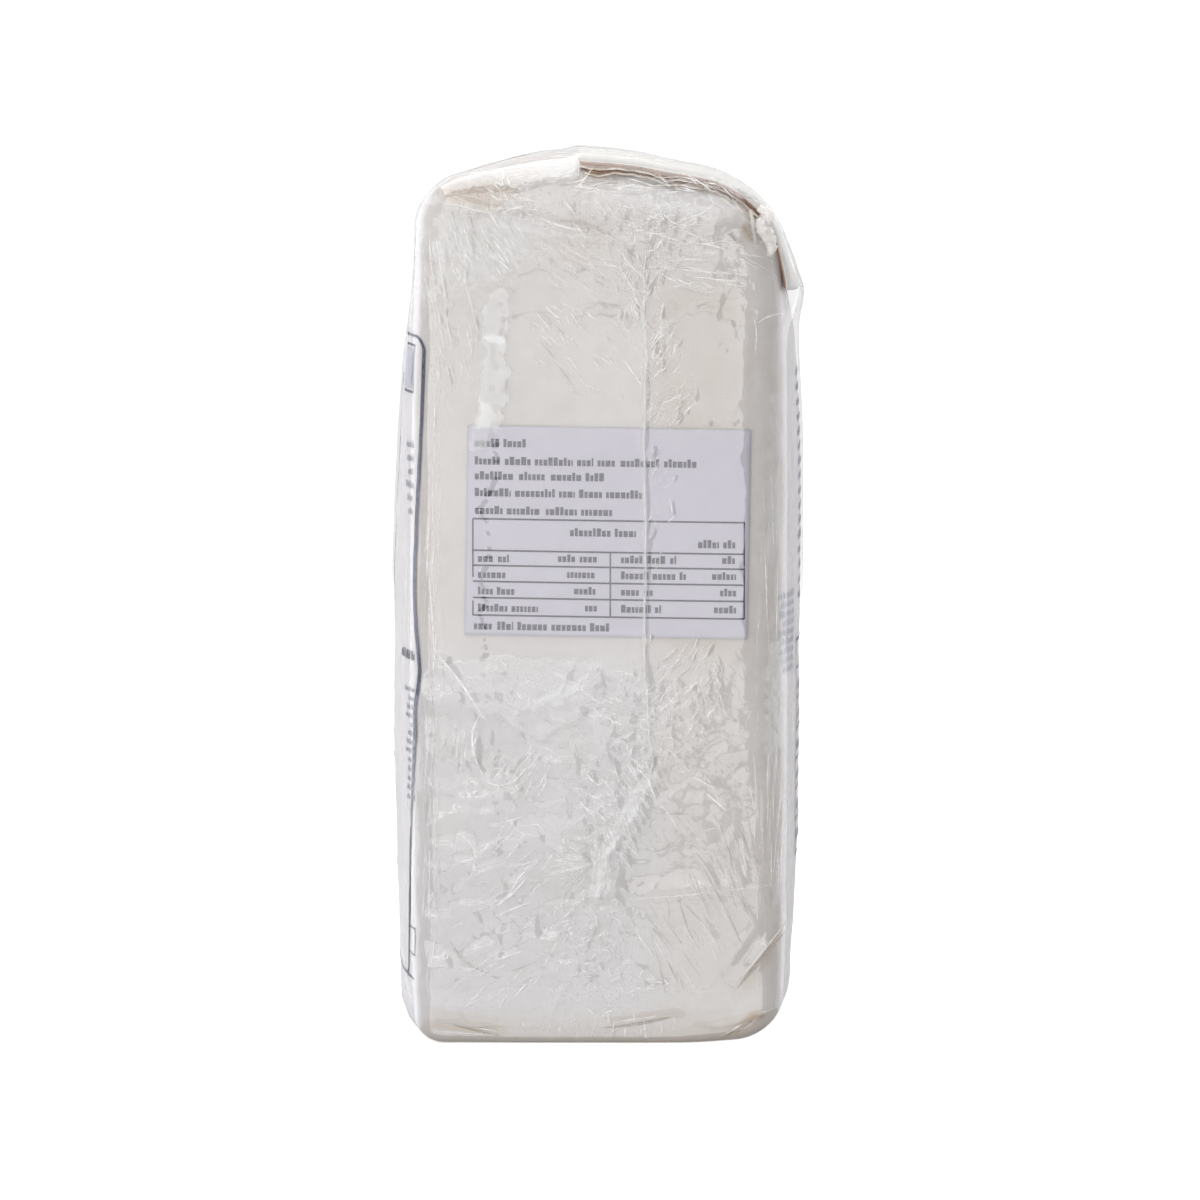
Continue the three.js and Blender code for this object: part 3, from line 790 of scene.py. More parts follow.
def film_label_side(Y, Z):
    """Everything that is drawn into the film on the labelled side."""
    R = Relief(Y, Z)
    rng = np.random.default_rng(5)
    F = lambda *a, **k: fan(R, rng, *a, **k)
    zero = Y * 0

    # broad slack, calm over the middle of the upper panel
    calm = R.zone((590, 330), (75, 60), 1.0)
    low = N1.fbm(np.stack([Y / 15.0, Z / 24.0, zero + 5], 1), 3)
    R.h += (0.09 + 0.12 * smooth((96 - Z) / 14)) * low * (1 - 0.8 * calm)

    # buckled facets: strong below the label, weak above
    lower = smooth((92 - Z) / 12) * smooth((Z - 8) / 10)
    upper = smooth((Z - 150) / 14) * smooth((199 - Z) / 8)
    edges = smooth((np.abs(Y - 2) - 24) / 8)
    lower = lower * (1 - 0.9 * smooth((Y - 8) / 8))
    big = R.dimples(13.0, 66.0, 3, 0.5, 0.8)
    R.h += big * (0.85 * lower + 0.22 * upper + 0.16 * edges * (1 - 0.6 * smooth((Y - 8) / 8)))
    mid = R.dimples(6.5, 30.0, 7, 0.5, 0.9)
    R.h += mid * (0.42 * lower + 0.45 * upper * (1 - calm) + 0.02)

    # puckers round the seam and the gather
    pucker = np.clip(
        R.zone((602, 800), (34, 62), 0.5) + R.zone((594, 945), (26, 50), 0.6) + R.zone((650, 222), (42, 30), 0.6)
        + R.zone((668, 705), (26, 22), 0.6) + R.zone((610, 985), (60, 12), 0.8) + R.zone((513, 200), (16, 12), 0.8),
        0, 1)
    R.h += pucker * R.dimples(2.3, 5.0, 11, 0.4) * 0.75
    R.m += pucker * 0.05

    # the sharpest glints
    F((464, 252), (12, 30), -64, 16, 11, 1.5, 0.14, spread=10, bright=0.5, dark=0)
    F((500, 244), (12, 22), -55, 10, 22, 1.5, 0.14, spread=8, bright=0.45, dark=0)
    F((676, 212), (26, 12), -20, 8, 18, 1.5, 0.14, spread=30, bright=0.45, dark=0)
    F((652, 232), (18, 14), 20, 8, 12, 1.5, 0.14, spread=60, bright=0.35, dark=0)
    F((664, 345), (10, 22), 50, 7, 14, 1.5, 0.12, spread=12, bright=0.35, dark=0)
    F((505, 190), (14, 12), -50, 8, 12, 1.5, 0.12, spread=30, bright=0.45, dark=0)
    F((686, 182), (26, 7), -16, 8, 18, 1.5, 0.12, spread=16, bright=0.5, dark=0)
    F((470, 750), (8, 30), 84, 7, 16, 1.5, 0.12, spread=8, bright=0.3, dark=0)
    F((600, 812), (16, 44), -62, 12, 14, 1.5, 0.12, spread=20, bright=0.3, dark=0)
    F((684, 700), (30, 26), 55, 9, 16, 1.5, 0.12, spread=14, bright=0.3, dark=0)
    F((600, 1012), (14, 8), 60, 6, 10, 1.5, 0.12, spread=40, bright=0.3, dark=0)
    # steep streaks below the front shoulder
    F((458, 250), (20, 32), -72, 30, 26, 1.8, 0.17, spread=9)
    F((500, 242), (24, 30), -57, 30, 30, 1.8, 0.17, spread=9)
    F((436, 300), (12, 60), -84, 18, 40, 1.8, 0.12, spread=5)
    F((522, 205), (22, 12), -20, 14, 22, 1.9, 0.14, spread=16)
    # crinkle under the closure flap
    F((600, 245), (55, 45), -48, 34, 28, 1.8, 0.13, spread=12)
    F((640, 215), (30, 22), 10, 30, 13, 1.7, 0.16, spread=60)
    F((680, 215), (28, 14), 12, 18, 20, 1.8, 0.15, spread=20)
    F((700, 262), (45, 28), -14, 24, 34, 1.9, 0.12, spread=14)
    F((560, 320), (30, 16), -48, 10, 18, 1.8, 0.15, spread=12)
    F((600, 350), (60, 40), -52, 16, 30, 1.9, 0.10, spread=10)
    F((610, 182), (60, 8), 4, 18, 26, 1.8, 0.14, spread=14)
    # both sides of the seam
    F((633, 285), (14, 34), -74, 22, 22, 1.7, 0.16, spread=16)
    F((655, 300), (10, 60), 82, 22, 24, 1.7, 0.14, spread=14)
    F((664, 335), (12, 22), 48, 14, 16, 1.8, 0.17, spread=14)
    F((672, 405), (26, 14), 40, 12, 18, 1.7, 0.11, spread=12)
    F((668, 385), (26, 40), 62, 12, 18, 1.7, 0.09, spread=20)
    F((660, 500), (12, 70), 70, 12, 16, 1.7, 0.07, spread=20)
    # below the label, round the seam
    F((640, 700), (34, 26), -60, 24, 14, 1.7, 0.13, spread=40)
    F((690, 670), (30, 26), 58, 18, 20, 1.8, 0.07, spread=14)
    F((712, 690), (18, 26), -70, 14, 20, 1.8, 0.07, spread=10)
    F((660, 745), (34, 24), 70, 24, 12, 1.7, 0.16, spread=40)
    F((560, 700), (60, 30), -35, 12, 26, 2.4, 0.12, spread=16, bright=0.02, dark=0)
    # right of the gather: leaning streaks
    F((715, 905), (30, 46), -66, 18, 42, 2.1, 0.12, spread=6, dark=0.5)
    F((665, 940), (34, 40), -62, 18, 36, 2.0, 0.10, spread=8, dark=0.5)
    F((735, 860), (20, 34), -74, 14, 36, 2.1, 0.11, spread=6, dark=0.5)
    # upright folds by the back corner and by the front corner
    F((776, 815), (14, 60), 88, 24, 64, 1.9, 0.18, spread=2.5, bend=0.02, dark=0.12)
    F((775, 600), (14, 120), 88, 14, 80, 1.9, 0.10, spread=2.5, bend=0.02)
    F((430, 800), (8, 130), 88, 18, 80, 1.9, 0.13, spread=2.5, bend=0.02, dark=0.12)
    F((432, 520), (8, 130), 88, 12, 80, 1.9, 0.08, spread=2.5, bend=0.02)
    F((455, 742), (10, 18), 88, 8, 18, 1.7, 0.14, spread=4, bend=0.02)
    # lower middle
    F((525, 765), (26, 22), 62, 16, 22, 1.8, 0.15, spread=12)
    F((580, 930), (36, 40), 40, 38, 12, 1.7, 0.14, spread=45)
    F((610, 985), (60, 14), 10, 26, 14, 1.7, 0.13, spread=50)
    F((490, 985), (40, 20), 32, 16, 26, 1.9, 0.13, spread=18)
    F((600, 1025), (90, 8), 88, 20, 14, 1.8, 0.11, spread=12)
    F((500, 860), (30, 40), 38, 10, 40, 2.4, 0.16, spread=14)
    F((646, 500), (5, 250), 82, 12, 14, 1.6, 0.08, spread=20)
    F((622, 815), (14, 44), -58, 16, 26, 1.6, 0.12, spread=9)
    F((640, 785), (10, 24), -58, 12, 24, 1.6, 0.12, spread=12)
    F((600, 866), (7, 28), 86, 14, 24, 1.6, 0.12, spread=8)
    F((640, 186), (64, 7), -12, 16, 22, 1.7, 0.12, spread=10, dark=0.2)
    F((515, 172), (58, 6), 8, 12, 26, 1.7, 0.10, spread=8)
    F((640, 155), (80, 5), -8, 10, 34, 1.7, 0.08, spread=6)
    F((730, 196), (24, 12), -38, 12, 20, 1.7, 0.12, spread=14, dark=0.3)
    F((455, 350), (24, 50), -80, 14, 30, 1.7, 0.10, spread=8)
    F((540, 690), (70, 34), -28, 8, 16, 1.8, 0.10, spread=24, bright=0.04, dark=0)
    F((700, 800), (50, 40), -50, 8, 30, 1.8, 0.05, spread=20)
    F((520, 900), (60, 60), 30, 14, 30, 1.8, 0.10, spread=24)

    def sheen_field(amount, pts, soft=0.8, warp=0.9):
        """Painted reflection: a whiter field of film with a ragged edge, in place of broad mirrored light; corners in
        px, counter-clockwise as seen.
        """
        w3 = np.stack([Y / 3.2, Z / 3.2, zero + 8], 1)
        inside = polygon_depth(Y + warp * N1.fbm(w3, 3), Z + warp * N2.fbm(w3 + 5, 3), px_path(*pts), soft)
        R.m += 2.2 * amount * inside
        R.h += 0.10 * inside

    # painted reflection: whiter fields of film with ragged edges, in place of broad mirrored light
    sheen_field(0.17, [(484, 338), (504, 342), (512, 296), (502, 286), (486, 290)], 0.9, 0.8)
    sheen_field(0.19, [(478, 424), (500, 428), (510, 372), (504, 334), (485, 330)], 0.9, 0.9)
    sheen_field(0.13, [(468, 446), (484, 446), (496, 408), (480, 396)], 0.9, 0.9)
    sheen_field(0.13, [(424, 300), (500, 286), (560, 240), (500, 212), (430, 200)], 7.0, 1.8)
    sheen_field(0.12, [(452, 184), (575, 178), (580, 160), (520, 163), (462, 172)], 1.2, 0.5)
    sheen_field(0.13, [(540, 178), (577, 176), (579, 157), (550, 160)], 0.8, 0.5)
    sheen_field(0.15, [(590, 202), (745, 222), (742, 204), (690, 189), (600, 180)], 1.2, 0.7)
    sheen_field(0.10, [(762, 750), (794, 750), (796, 640), (768, 640)], 0.8, 1.5)
    sheen_field(0.05, [(764, 560), (794, 560), (796, 330), (770, 330)], 1.0, 1.0)
    sheen_field(0.07, [(580, 160), (745, 198), (748, 186), (660, 156), (580, 150)], 1.2, 0.4)
    sheen_field(0.10, [(498, 224), (560, 236), (596, 234), (560, 222), (505, 212)], 0.8, 0.6)
    sheen_field(0.11, [(436, 662), (480, 716), (560, 700), (602, 660), (500, 652)], 0.8, 1.2)
    sheen_field(0.10, [(500, 716), (540, 736), (604, 700), (602, 664)], 0.9, 1.0)
    sheen_field(0.11, [(480, 812), (514, 808), (520, 774), (505, 762), (484, 768)], 1.0, 1.2)
    sheen_field(0.13, [(455, 848), (476, 846), (474, 830), (456, 832)], 0.7, 0.7)
    sheen_field(0.05, [(650, 890), (742, 884), (736, 792), (700, 770), (656, 800)], 1.0, 0.5)
    sheen_field(0.07, [(612, 900), (700, 1000), (760, 930), (742, 894)], 1.4, 0.9)
    sheen_field(0.08, [(440, 1008), (742, 1008), (720, 990), (600, 984), (460, 990)], 1.4, 0.8)
    sheen_field(0.05, [(700, 420), (744, 420), (748, 330), (700, 300), (660, 320)], 1.6, 0.9)
    sheen_field(0.14, [(590, 894), (610, 894), (611, 850), (600, 836), (590, 850)], 1.0, 0.7)
    sheen_field(0.16, [(602, 854), (616, 850), (660, 774), (648, 764), (620, 810)], 1.2, 0.6)
    sheen_field(0.07, [(412, 205), (440, 206), (436, 180), (418, 190)], 1.2, 0.5)
    sheen_field(0.04, [(560, 1000), (600, 890), (592, 890), (540, 1040)], 1.0, 0.8)
    # painted highlights: white ribbons along given creases and fold edges
    for px_pts, w_, a_ in (
        (((450, 1020), (476, 1028), (502, 1033)), 0.32, 0.6), (((430, 1030), (466, 1034), (502, 1035)), 0.26, 0.5),
        (((600, 1024), (640, 1019), (688, 1010)), 0.34, 0.6), (((722, 1037), (740, 1026), (757, 1011)), 0.34, 0.7),
        (((757, 1013), (768, 1012), (778, 1008)), 0.26, 0.6), (((500, 213), (512, 207), (528, 204)), 0.34, 0.7),
        (((498, 214), (470, 206), (440, 199)), 0.34, 0.5), (((536, 214), (562, 224), (590, 229)), 0.30, 0.7),
        (((578, 154), (579, 164), (578, 176)), 0.36, 0.45), (((458, 174), (510, 166), (575, 164)), 0.34, 0.6),
        (((612, 897), (690, 893), (788, 880)), 0.24, 0.45), (((482, 708), (472, 740), (485, 776)), 0.40, 0.7),
        (((485, 778), (510, 780), (532, 754)), 0.34, 0.65), (((436, 650), (458, 676), (482, 712)), 0.38, 0.7),
        (((490, 906), (510, 893), (528, 873)), 0.32, 0.75), (((456, 830), (474, 848), (470, 872)), 0.30, 0.5),
        (((736, 984), (764, 950), (796, 912)), 0.34, 0.55), (((755, 322), (768, 314), (784, 311)), 0.30, 0.5),
        (((752, 312), (756, 330), (754, 352)), 0.26, 0.5), (((660, 205), (676, 222), (702, 219)), 0.30, 0.5),
        (((690, 214), (700, 212), (712, 204)), 0.34, 0.7), (((642, 262), (690, 268), (748, 272)), 0.26, 0.4),
    ):
        R.lines.append((px_path(*px_pts), w_, a_))
    # painted shade: dark ribbons along the base folds, under the closure and in the brown patches by the knob
    for px_pts, w_, a_ in (
        (((448, 1024), (474, 1031), (502, 1037)), 0.40, 0.6), (((728, 1038), (744, 1028), (758, 1014)), 0.50, 0.8),
        (((745, 1021), (749, 1022), (753, 1023)), 0.8, 0.9), (((752, 1014), (755, 1013), (758, 1014)), 0.7, 0.9),
        (((759, 1019), (762, 1018), (765, 1018)), 0.7, 0.9), (((604, 1028), (640, 1024), (680, 1015)), 0.8, 0.4),
        (((738, 988), (764, 956), (792, 926)), 1.2, 0.5), (((744, 980), (768, 948), (796, 910)), 0.7, 0.6),
        (((500, 182), (512, 186), (524, 190)), 0.5, 0.5), (((450, 190), (478, 200), (500, 204)), 1.0, 0.3),
        (((560, 218), (590, 224), (612, 236)), 1.0, 0.3), (((772, 690), (780, 700), (776, 716)), 0.4, 0.22),
        (((778, 705), (772, 720), (782, 735)), 0.4, 0.22), (((770, 700), (776, 726), (780, 734)), 0.4, 0.18),
        (((450, 940), (466, 962), (490, 972)), 0.7, 0.3), (((662, 187), (674, 186), (686, 190)), 0.6, 0.7),
        (((690, 182), (700, 185), (708, 190)), 0.6, 0.7), (((714, 192), (718, 193), (722, 194)), 0.6, 0.7),
        (((743, 223), (748, 230), (752, 239)), 1.5, 0.34), (((736, 202), (744, 207), (753, 214)), 1.3, 0.36),
        (((584, 180), (600, 180), (620, 183)), 0.6, 0.5), (((630, 179), (645, 181), (662, 184)), 0.4, 0.5),
    ):
        R.darks.append((px_path(*px_pts), w_, a_))

    # fine wrinkles drawn to the gather, with painted highlight ribbons
    for k in range(17):
        a = math.radians(164 + 3.4 * k + rng.normal() * 1.2)
        d = np.array([math.cos(a), -math.sin(a)])
        c = np.array([596, 860])
        far_ = rng.uniform(22, 46)
        R.stroke([at(*(c + d * 5)), at(*(c + d * far_))], 1.5 * PX, 0.2 * rng.uniform(0.6, 1.2))
        for j_ in range(5):
            e_ = rng.normal(size=2) * 3
            R.lines.append(([at(*(c + d * 5)), at(*(c + d * far_ * 0.5 + e_)), at(*(c + d * far_ + e_ * 2))], rng.uniform(0.14, 0.26), rng.uniform(0.14, 0.45)))
    for k in range(11):
        a = math.radians(-66 + 12 * k + rng.normal() * 3)
        d = np.array([math.cos(a), -math.sin(a)])
        c = np.array([604, 860])
        far_ = rng.uniform(14, 44)
        R.stroke([at(*(c + d * 6)), at(*(c + d * far_))], 1.8 * PX, 0.09 * rng.uniform(0.6, 1.2))
        R.lines.append(([at(*(c + d * 6)), at(*(c + d * far_ * 0.5)), at(*(c + d * far_))], rng.uniform(0.14, 0.24), rng.uniform(0.05, 0.18)))
    curls(R, rng, (603, 800), (17, 34), 60, 4.6, 1.4, 0.15, 0.9)
    curls(R, rng, (590, 945), (16, 28), 34, 4.4, 1.4, 0.15)
    curls(R, rng, (645, 218), (30, 20), 60, 5.0, 1.4, 0.15, 0.7)
    curls(R, rng, (660, 735), (24, 20), 34, 4.4, 1.4, 0.14)
    curls(R, rng, (511, 200), (9, 8), 20, 4.4, 1.4, 0.16)

    # the film stands off in a taut middle panel, with scalloped edges front and back
    s1 = np.stack([zero + 1, Z / 9.0, zero], 1)
    s2 = np.stack([zero + 4, Z / 2.6, zero], 1)
    front = -24.5 + 2.2 * N2.fbm(s1, 2) + 1.5 * N3(s2) + 2.2 * np.sin(Z / 21.0)
    R.h += 0.62 * smooth((Y - front) / 2.6) * smooth((176 - Z) / 12) * smooth((Z - 14) / 10)
    s3 = np.stack([zero + 9, Z / 8.0, zero], 1)
    s4 = np.stack([zero + 6, Z / 2.4, zero], 1)
    back = 33.4 + 1.1 * N2.fbm(s3, 2) + 0.8 * N3(s4) - 0.010 * (Z - 115)
    R.h -= 0.50 * smooth((Y - back) / 2.2) * smooth((168 - Z) / 10) * smooth((Z - 60) / 16)

    # seam, slanting run, gather and foot
    seam = px_path(*SEAM_RUN)
    R.stroke(seam, 0.6, 0.09, milk_and_sheen=0.34)
    R.stroke(seam, 1.9, 0.05, milk_and_sheen=0.05)
    slant = px_path(*SLANT_RUN)
    R.stroke(slant, 1.3, 0.07, milk_and_sheen=0.36)
    R.stroke(slant, 3.0, 0.03, milk_and_sheen=0.26)
    R.stroke(px_path((602, 832), (600, 860), (598, 890)), 1.6, 0.10, milk_and_sheen=0.36)
    R.stroke(px_path(*FOOT_RUN), 0.6, 0.35, milk_and_sheen=0.12)
    R.stroke(px_path((548, 240), (580, 250), (640, 262)), 1.2, 0.3, milk_and_sheen=0.05)
    # long folds and tension folds
    R.stroke(px_path((610, 897), (690, 893), (740, 888), (790, 879)), 0.8, 0.42, "step")
    R.stroke(px_path((735, 968), (762, 930), (796, 868)), 1.7, -0.75, milk_and_sheen=0)
    R.stroke(px_path((748, 978), (778, 935), (800, 905)), 1.2, 0.5)
    R.stroke(px_path((700, 985), (735, 955), (770, 905)), 1.4, 0.35)
    R.stroke(px_path((778, 876), (790, 850), (796, 836)), 1.0, -0.6, milk_and_sheen=0)
    R.stroke(px_path((436, 650), (460, 680), (482, 712)), 1.3, 0.55, milk_and_sheen=0.10)
    R.stroke(px_path((484, 708), (474, 740), (473, 762), (486, 778), (512, 774), (532, 752)), 1.3, 0.6, milk_and_sheen=0.14)
    R.stroke(px_path((492, 660), (505, 675)), 1.8, 0.4)
    R.stroke(px_path((456, 830), (476, 852), (470, 872)), 1.5, 0.45)
    R.stroke(px_path((490, 906), (508, 894), (528, 873)), 1.0, 0.5, milk_and_sheen=0.14)
    R.stroke(px_path((454, 903), (492, 905)), 1.0, 0.35)
    R.stroke(px_path((462, 962), (475, 948), (500, 942)), 1.0, 0.35)
    R.stroke(px_path((500, 985), (525, 975), (560, 968)), 1.2, 0.4)
    R.stroke(px_path((485, 335), (496, 380), (484, 430)), 1.6, 0.5)
    R.stroke(px_path((470, 800), (500, 792), (512, 806)), 1.6, 0.5)
    R.stroke(px_path((500, 213), (525, 205)), 1.2, 0.4, milk_and_sheen=0.1)
    R.stroke(px_path((536, 216), (560, 224), (585, 229)), 0.9, 0.4, milk_and_sheen=0.1)
    # where the finest creases run: leaning streaks, crumpled webs, upright folds
    top_band = smooth((199 - Z) / 5) * smooth((Z - 160) / 16)
    low_half = smooth((94 - Z) / 14) * smooth((Z - 5) / 8)
    lean = np.clip(
        0.9 * R.zone((468, 250), (40, 50), 0.8) + 0.8 * R.zone((620, 280), (90, 70), 0.8)
        + 0.8 * R.zone((700, 920), (60, 70), 0.7) + 0.4 * top_band + 0.5 * R.zone((660, 350), (30, 90), 0.7), 0, 1)
    webs = np.clip(0.75 * top_band * (1 - 0.8 * calm) + 0.42 * low_half + 0.9 * pucker, 0, 1)
    webs *= 0.35 + 0.65 * smooth(0.5 + 1.4 * N3.fbm(np.stack([Y / 11, Z / 11, zero], 1), 2))
    folds = np.clip(0.8 * R.zone((775, 800), (22, 130), 0.5) + 0.7 * R.zone((430, 760), (14, 190), 0.5)
                    + 0.4 * R.zone((775, 520), (18, 160), 0.6), 0, 1)
    return R.h, R.m, lean, webs, folds, R.lines, R.darks


def film_far_side(Y, Z):
    """The far narrow side's film: folds of the same kinds, in places of their own."""
    R = Relief(Y, Z)
    rng = np.random.default_rng(29)
    F = lambda *a, **k: fan(R, rng, *a, **k)
    zero = Y * 0
    R.h += 0.16 * N2.fbm(np.stack([Y / 15.0, Z / 24.0, zero + 15], 1), 3)
    body = smooth((Z - 8) / 10) * smooth((192 - Z) / 12)
    R.h += 0.60 * R.dimples(14.0, 70.0, 13, 0.5, 1.1) * body
    R.h += 0.40 * R.dimples(7.0, 32.0, 17, 0.5, 0.9) * body * (0.15 + 0.85 * smooth(np.abs(Z - 112) / 34 - 0.6))
    pucker = np.clip(R.zone((640, 905), (26, 40), 0.6) + R.zone((560, 222), (40, 26), 0.6) + R.zone((646, 640), (20, 30), 0.6), 0, 1)
    R.h += pucker * R.dimples(3.2, 8.0, 19, 0.4) * 0.8
    R.m += pucker * 0.05
    F((470, 260), (30, 40), -58, 34, 28, 1.8, 0.15, spread=12)
    F((730, 255), (30, 36), 60, 30, 26, 1.8, 0.15, spread=12)
    F((600, 215), (90, 16), 6, 34, 24, 1.8, 0.13, spread=26)
    F((560, 330), (60, 40), -44, 22, 30, 1.9, 0.10, spread=14)
    F((690, 380), (40, 60), 66, 22, 30, 1.8, 0.10, spread=14)
    F((440, 600), (14, 220), 87, 34, 50, 1.9, 0.10, spread=4, bend=0.02)
    F((765, 620), (14, 220), -87, 34, 50, 1.9, 0.10, spread=4, bend=0.02)
    F((560, 560), (90, 80), 34, 18, 36, 2.2, 0.09, spread=20)
    F((640, 700), (50, 40), -56, 26, 22, 1.8, 0.13, spread=34)
    F((500, 760), (50, 50), 40, 26, 30, 2.0, 0.13, spread=20)
    F((700, 830), (50, 60), -64, 34, 40, 2.0, 0.15, spread=8)
    F((520, 900), (60, 50), 30, 28, 34, 1.9, 0.13, spread=20)
    F((610, 985), (90, 18), 8, 34, 22, 1.8, 0.12, spread=40)
    F((600, 1024), (110, 8), 86, 22, 14, 1.8, 0.10, spread=14)
    for k in range(20):
        a = math.radians(-30 + 12.6 * k + rng.normal() * 4)
        d = np.array([math.cos(a), -math.sin(a)])
        c = np.array([643, 872])
        far_ = rng.uniform(18, 50)
        R.stroke([at(*(c + d * 5)), at(*(c + d * far_))], 2.2 * PX, 0.18 * rng.uniform(0.6, 1.2))
        R.lines.append(([at(*(c + d * 5)), at(*(c + d * far_ * 0.5 + rng.normal(size=2) * 2)), at(*(c + d * far_))], rng.uniform(0.16, 0.30), rng.uniform(0.15, 0.5)))
    curls(R, rng, (640, 905), (18, 26), 40, 5.0, 1.6, 0.15)
    curls(R, rng, (560, 222), (28, 16), 34, 5.0, 1.6, 0.14, 0.7)
    return R.h, R.m, R.lines, R.darks


def wide_face_glints(seed):
    """Painted highlights on a wide face: short crease ribbons as (x, z) paths with width and whiteness, pulled towards
    the corners, a few strays between.
    """
    rng = np.random.default_rng(seed)
    out = []
    for sx in (-1, 1):
        for cz, up in ((188.0, -1), (5.0, 1)):
            for _ in range(34):
                a = math.radians(rng.uniform(8, 86))
                d = np.array([-sx * math.cos(a), up * math.sin(a)])
                c = np.array([sx * 59.0, cz]) + d * rng.uniform(3, 26)
                ln = rng.uniform(3, 13)
                perp = np.array([d[1], -d[0]]) * rng.normal() * 0.06 * ln
                out.append(([c, c + d * ln * 0.5 + perp, c + d * ln], rng.uniform(0.14, 0.30), 0.10 + 0.5 * rng.random() ** 2.2))
        for _ in range(60):
            c = np.array([sx * rng.uniform(46, 59), rng.uniform(14, 182)])
            d = np.array([rng.normal() * 0.10, 1.0])
            ln = rng.uniform(3, 12)
            out.append(([c, c + d * ln * 0.5 + np.array([rng.normal() * 0.2, 0]), c + d * ln], rng.uniform(0.14, 0.28), 0.08 + 0.4 * rng.random() ** 2.2))
    for _ in range(70):
        c = np.array([rng.uniform(-48, 48), rng.choice([rng.uniform(160, 188), rng.uniform(6, 30), rng.uniform(30, 160)])])
        a = math.radians(rng.normal() * 24 + 90)
        d = np.array([math.cos(a), math.sin(a)])
        ln = rng.uniform(3, 10)
        out.append(([c, c + d * ln * 0.5 + np.array([rng.normal() * 0.3, 0]), c + d * ln], rng.uniform(0.14, 0.26), 0.08 + 0.3 * rng.random() ** 2.2))
    return out


def film_relief(q):
    """The film everywhere else: slack waves, pull lines from the corners, the seam on the far side."""
    x, y, z = q.T
    h = 0.10 * N2.fbm(q / 15.0, 3)
    wide = smooth((58 - np.abs(x)) / 10)
    h += wide * 0.22 * np.abs(N3.fbm(np.stack([x / 9.0, y / 30.0, z / 46.0], 1), 3))
    for cx, cz in ((58, 186), (-58, 186), (58, 8), (-58, 8)):
        ang = np.arctan2(z - cz, x - cx)
        rad = np.hypot(z - cz, x - cx)
        h += wide * 0.22 * np.exp(-rad / 34) * N1(np.stack([ang * 9, rad / 40, y * 0.02], 1))
    far = smooth((-x - (HALF_LENGTH - 7.5)) / 6.0)
    h += far * 0.18 * np.abs(N3.fbm(np.stack([y / 4.0, z / 16.0, x * 0 + 3], 1), 3))
    h += far * 0.7 * np.exp(-(((y - SEAM_Y) / 0.9) ** 2)) * smooth((180 - z) / 10) * smooth((z - 14) / 10)
    top = smooth((z - (SHOULDER_Z - 12)) / 8) * wide
    h += top * 0.25 * N2.fbm(np.stack([x / 5.0, y / 12.0, z * 0], 1), 3)
    return h


# ------------------------------------------------------------------ camera, floor, light
DIST = 1.25
ELEV = math.radians(4.0)
AIM = Vector((62.0 * MM, 0.9 * MM, 100.8 * MM))
cam_data = bpy.data.cameras.new("camera")
cam = bpy.data.objects.new("camera", cam_data)
bpy.context.scene.collection.objects.link(cam)
cam.location = AIM + Vector((math.cos(ELEV), 0, math.sin(ELEV))) * DIST
cam.rotation_euler = (AIM - cam.location).to_track_quat("-Z", "Y").to_euler()
cam_data.sensor_width = 36.0
cam_data.lens = 36.0 * DIST / (1200 * PX * MM)
cam_data.clip_start = 0.05
cam_data.clip_end = 60
cam_data.dof.use_dof = False
bpy.context.scene.camera = cam

world = bpy.data.worlds.new("studio")
bpy.context.scene.world = world
world.use_nodes = True
wn = world.node_tree
wn.nodes.clear()
w_out = wn.nodes.new("ShaderNodeOutputWorld")
white = wn.nodes.new("ShaderNodeBackground")
room = wn.nodes.new("ShaderNodeBackground")
w_path = wn.nodes.new("ShaderNodeLightPath")
w_mix = wn.nodes.new("ShaderNodeMixShader")
white.inputs["Color"].default_value = (1, 1, 1, 1)
white.inputs["Strength"].default_value = 1.05
room.inputs["Color"].default_value = (0.97, 0.98, 1.0, 1)
room.inputs["Strength"].default_value = 0.25
wn.links.new(w_path.outputs["Is Camera Ray"], w_mix.inputs["Fac"])
wn.links.new(room.outputs[0], w_mix.inputs[1])
wn.links.new(white.outputs[0], w_mix.inputs[2])
wn.links.new(w_mix.outputs[0], w_out.inputs["Surface"])
bpy.context.scene.view_settings.view_transform = "Standard"


def floor():
    me = bpy.data.meshes.new("floor")
    s = 14.0
    me.from_pydata([(-s, -s, 0), (s, -s, 0), (s, s, 0), (-s, s, 0)], [], [(0, 1, 2, 3)])
    ob = bpy.data.objects.new("floor", me)
    bpy.context.scene.collection.objects.link(ob)
    m, nt, out = material("floor_white")
    d = node(nt, "ShaderNodeBsdfDiffuse", inputs={"Color": (0.88, 0.88, 0.88, 1)})
    e = node(nt, "ShaderNodeEmission", inputs={"Color": (1, 1, 1, 1), "Strength": 0.95})
    a = node(nt, "ShaderNodeAddShader")
    nt.links.new(d.outputs[0], a.inputs[0])
    nt.links.new(e.outputs[0], a.inputs[1])
    nt.links.new(a.outputs[0], out.inputs["Surface"])
    me.materials.append(m)
    # a pale sheet that the bag stands on; the light from below is set by the room
    ob.visible_diffuse = False
    ob.visible_glossy = False
    ob.visible_shadow = False
    return ob


floor()
FACE = Vector((62 * MM, 0, 95 * MM))


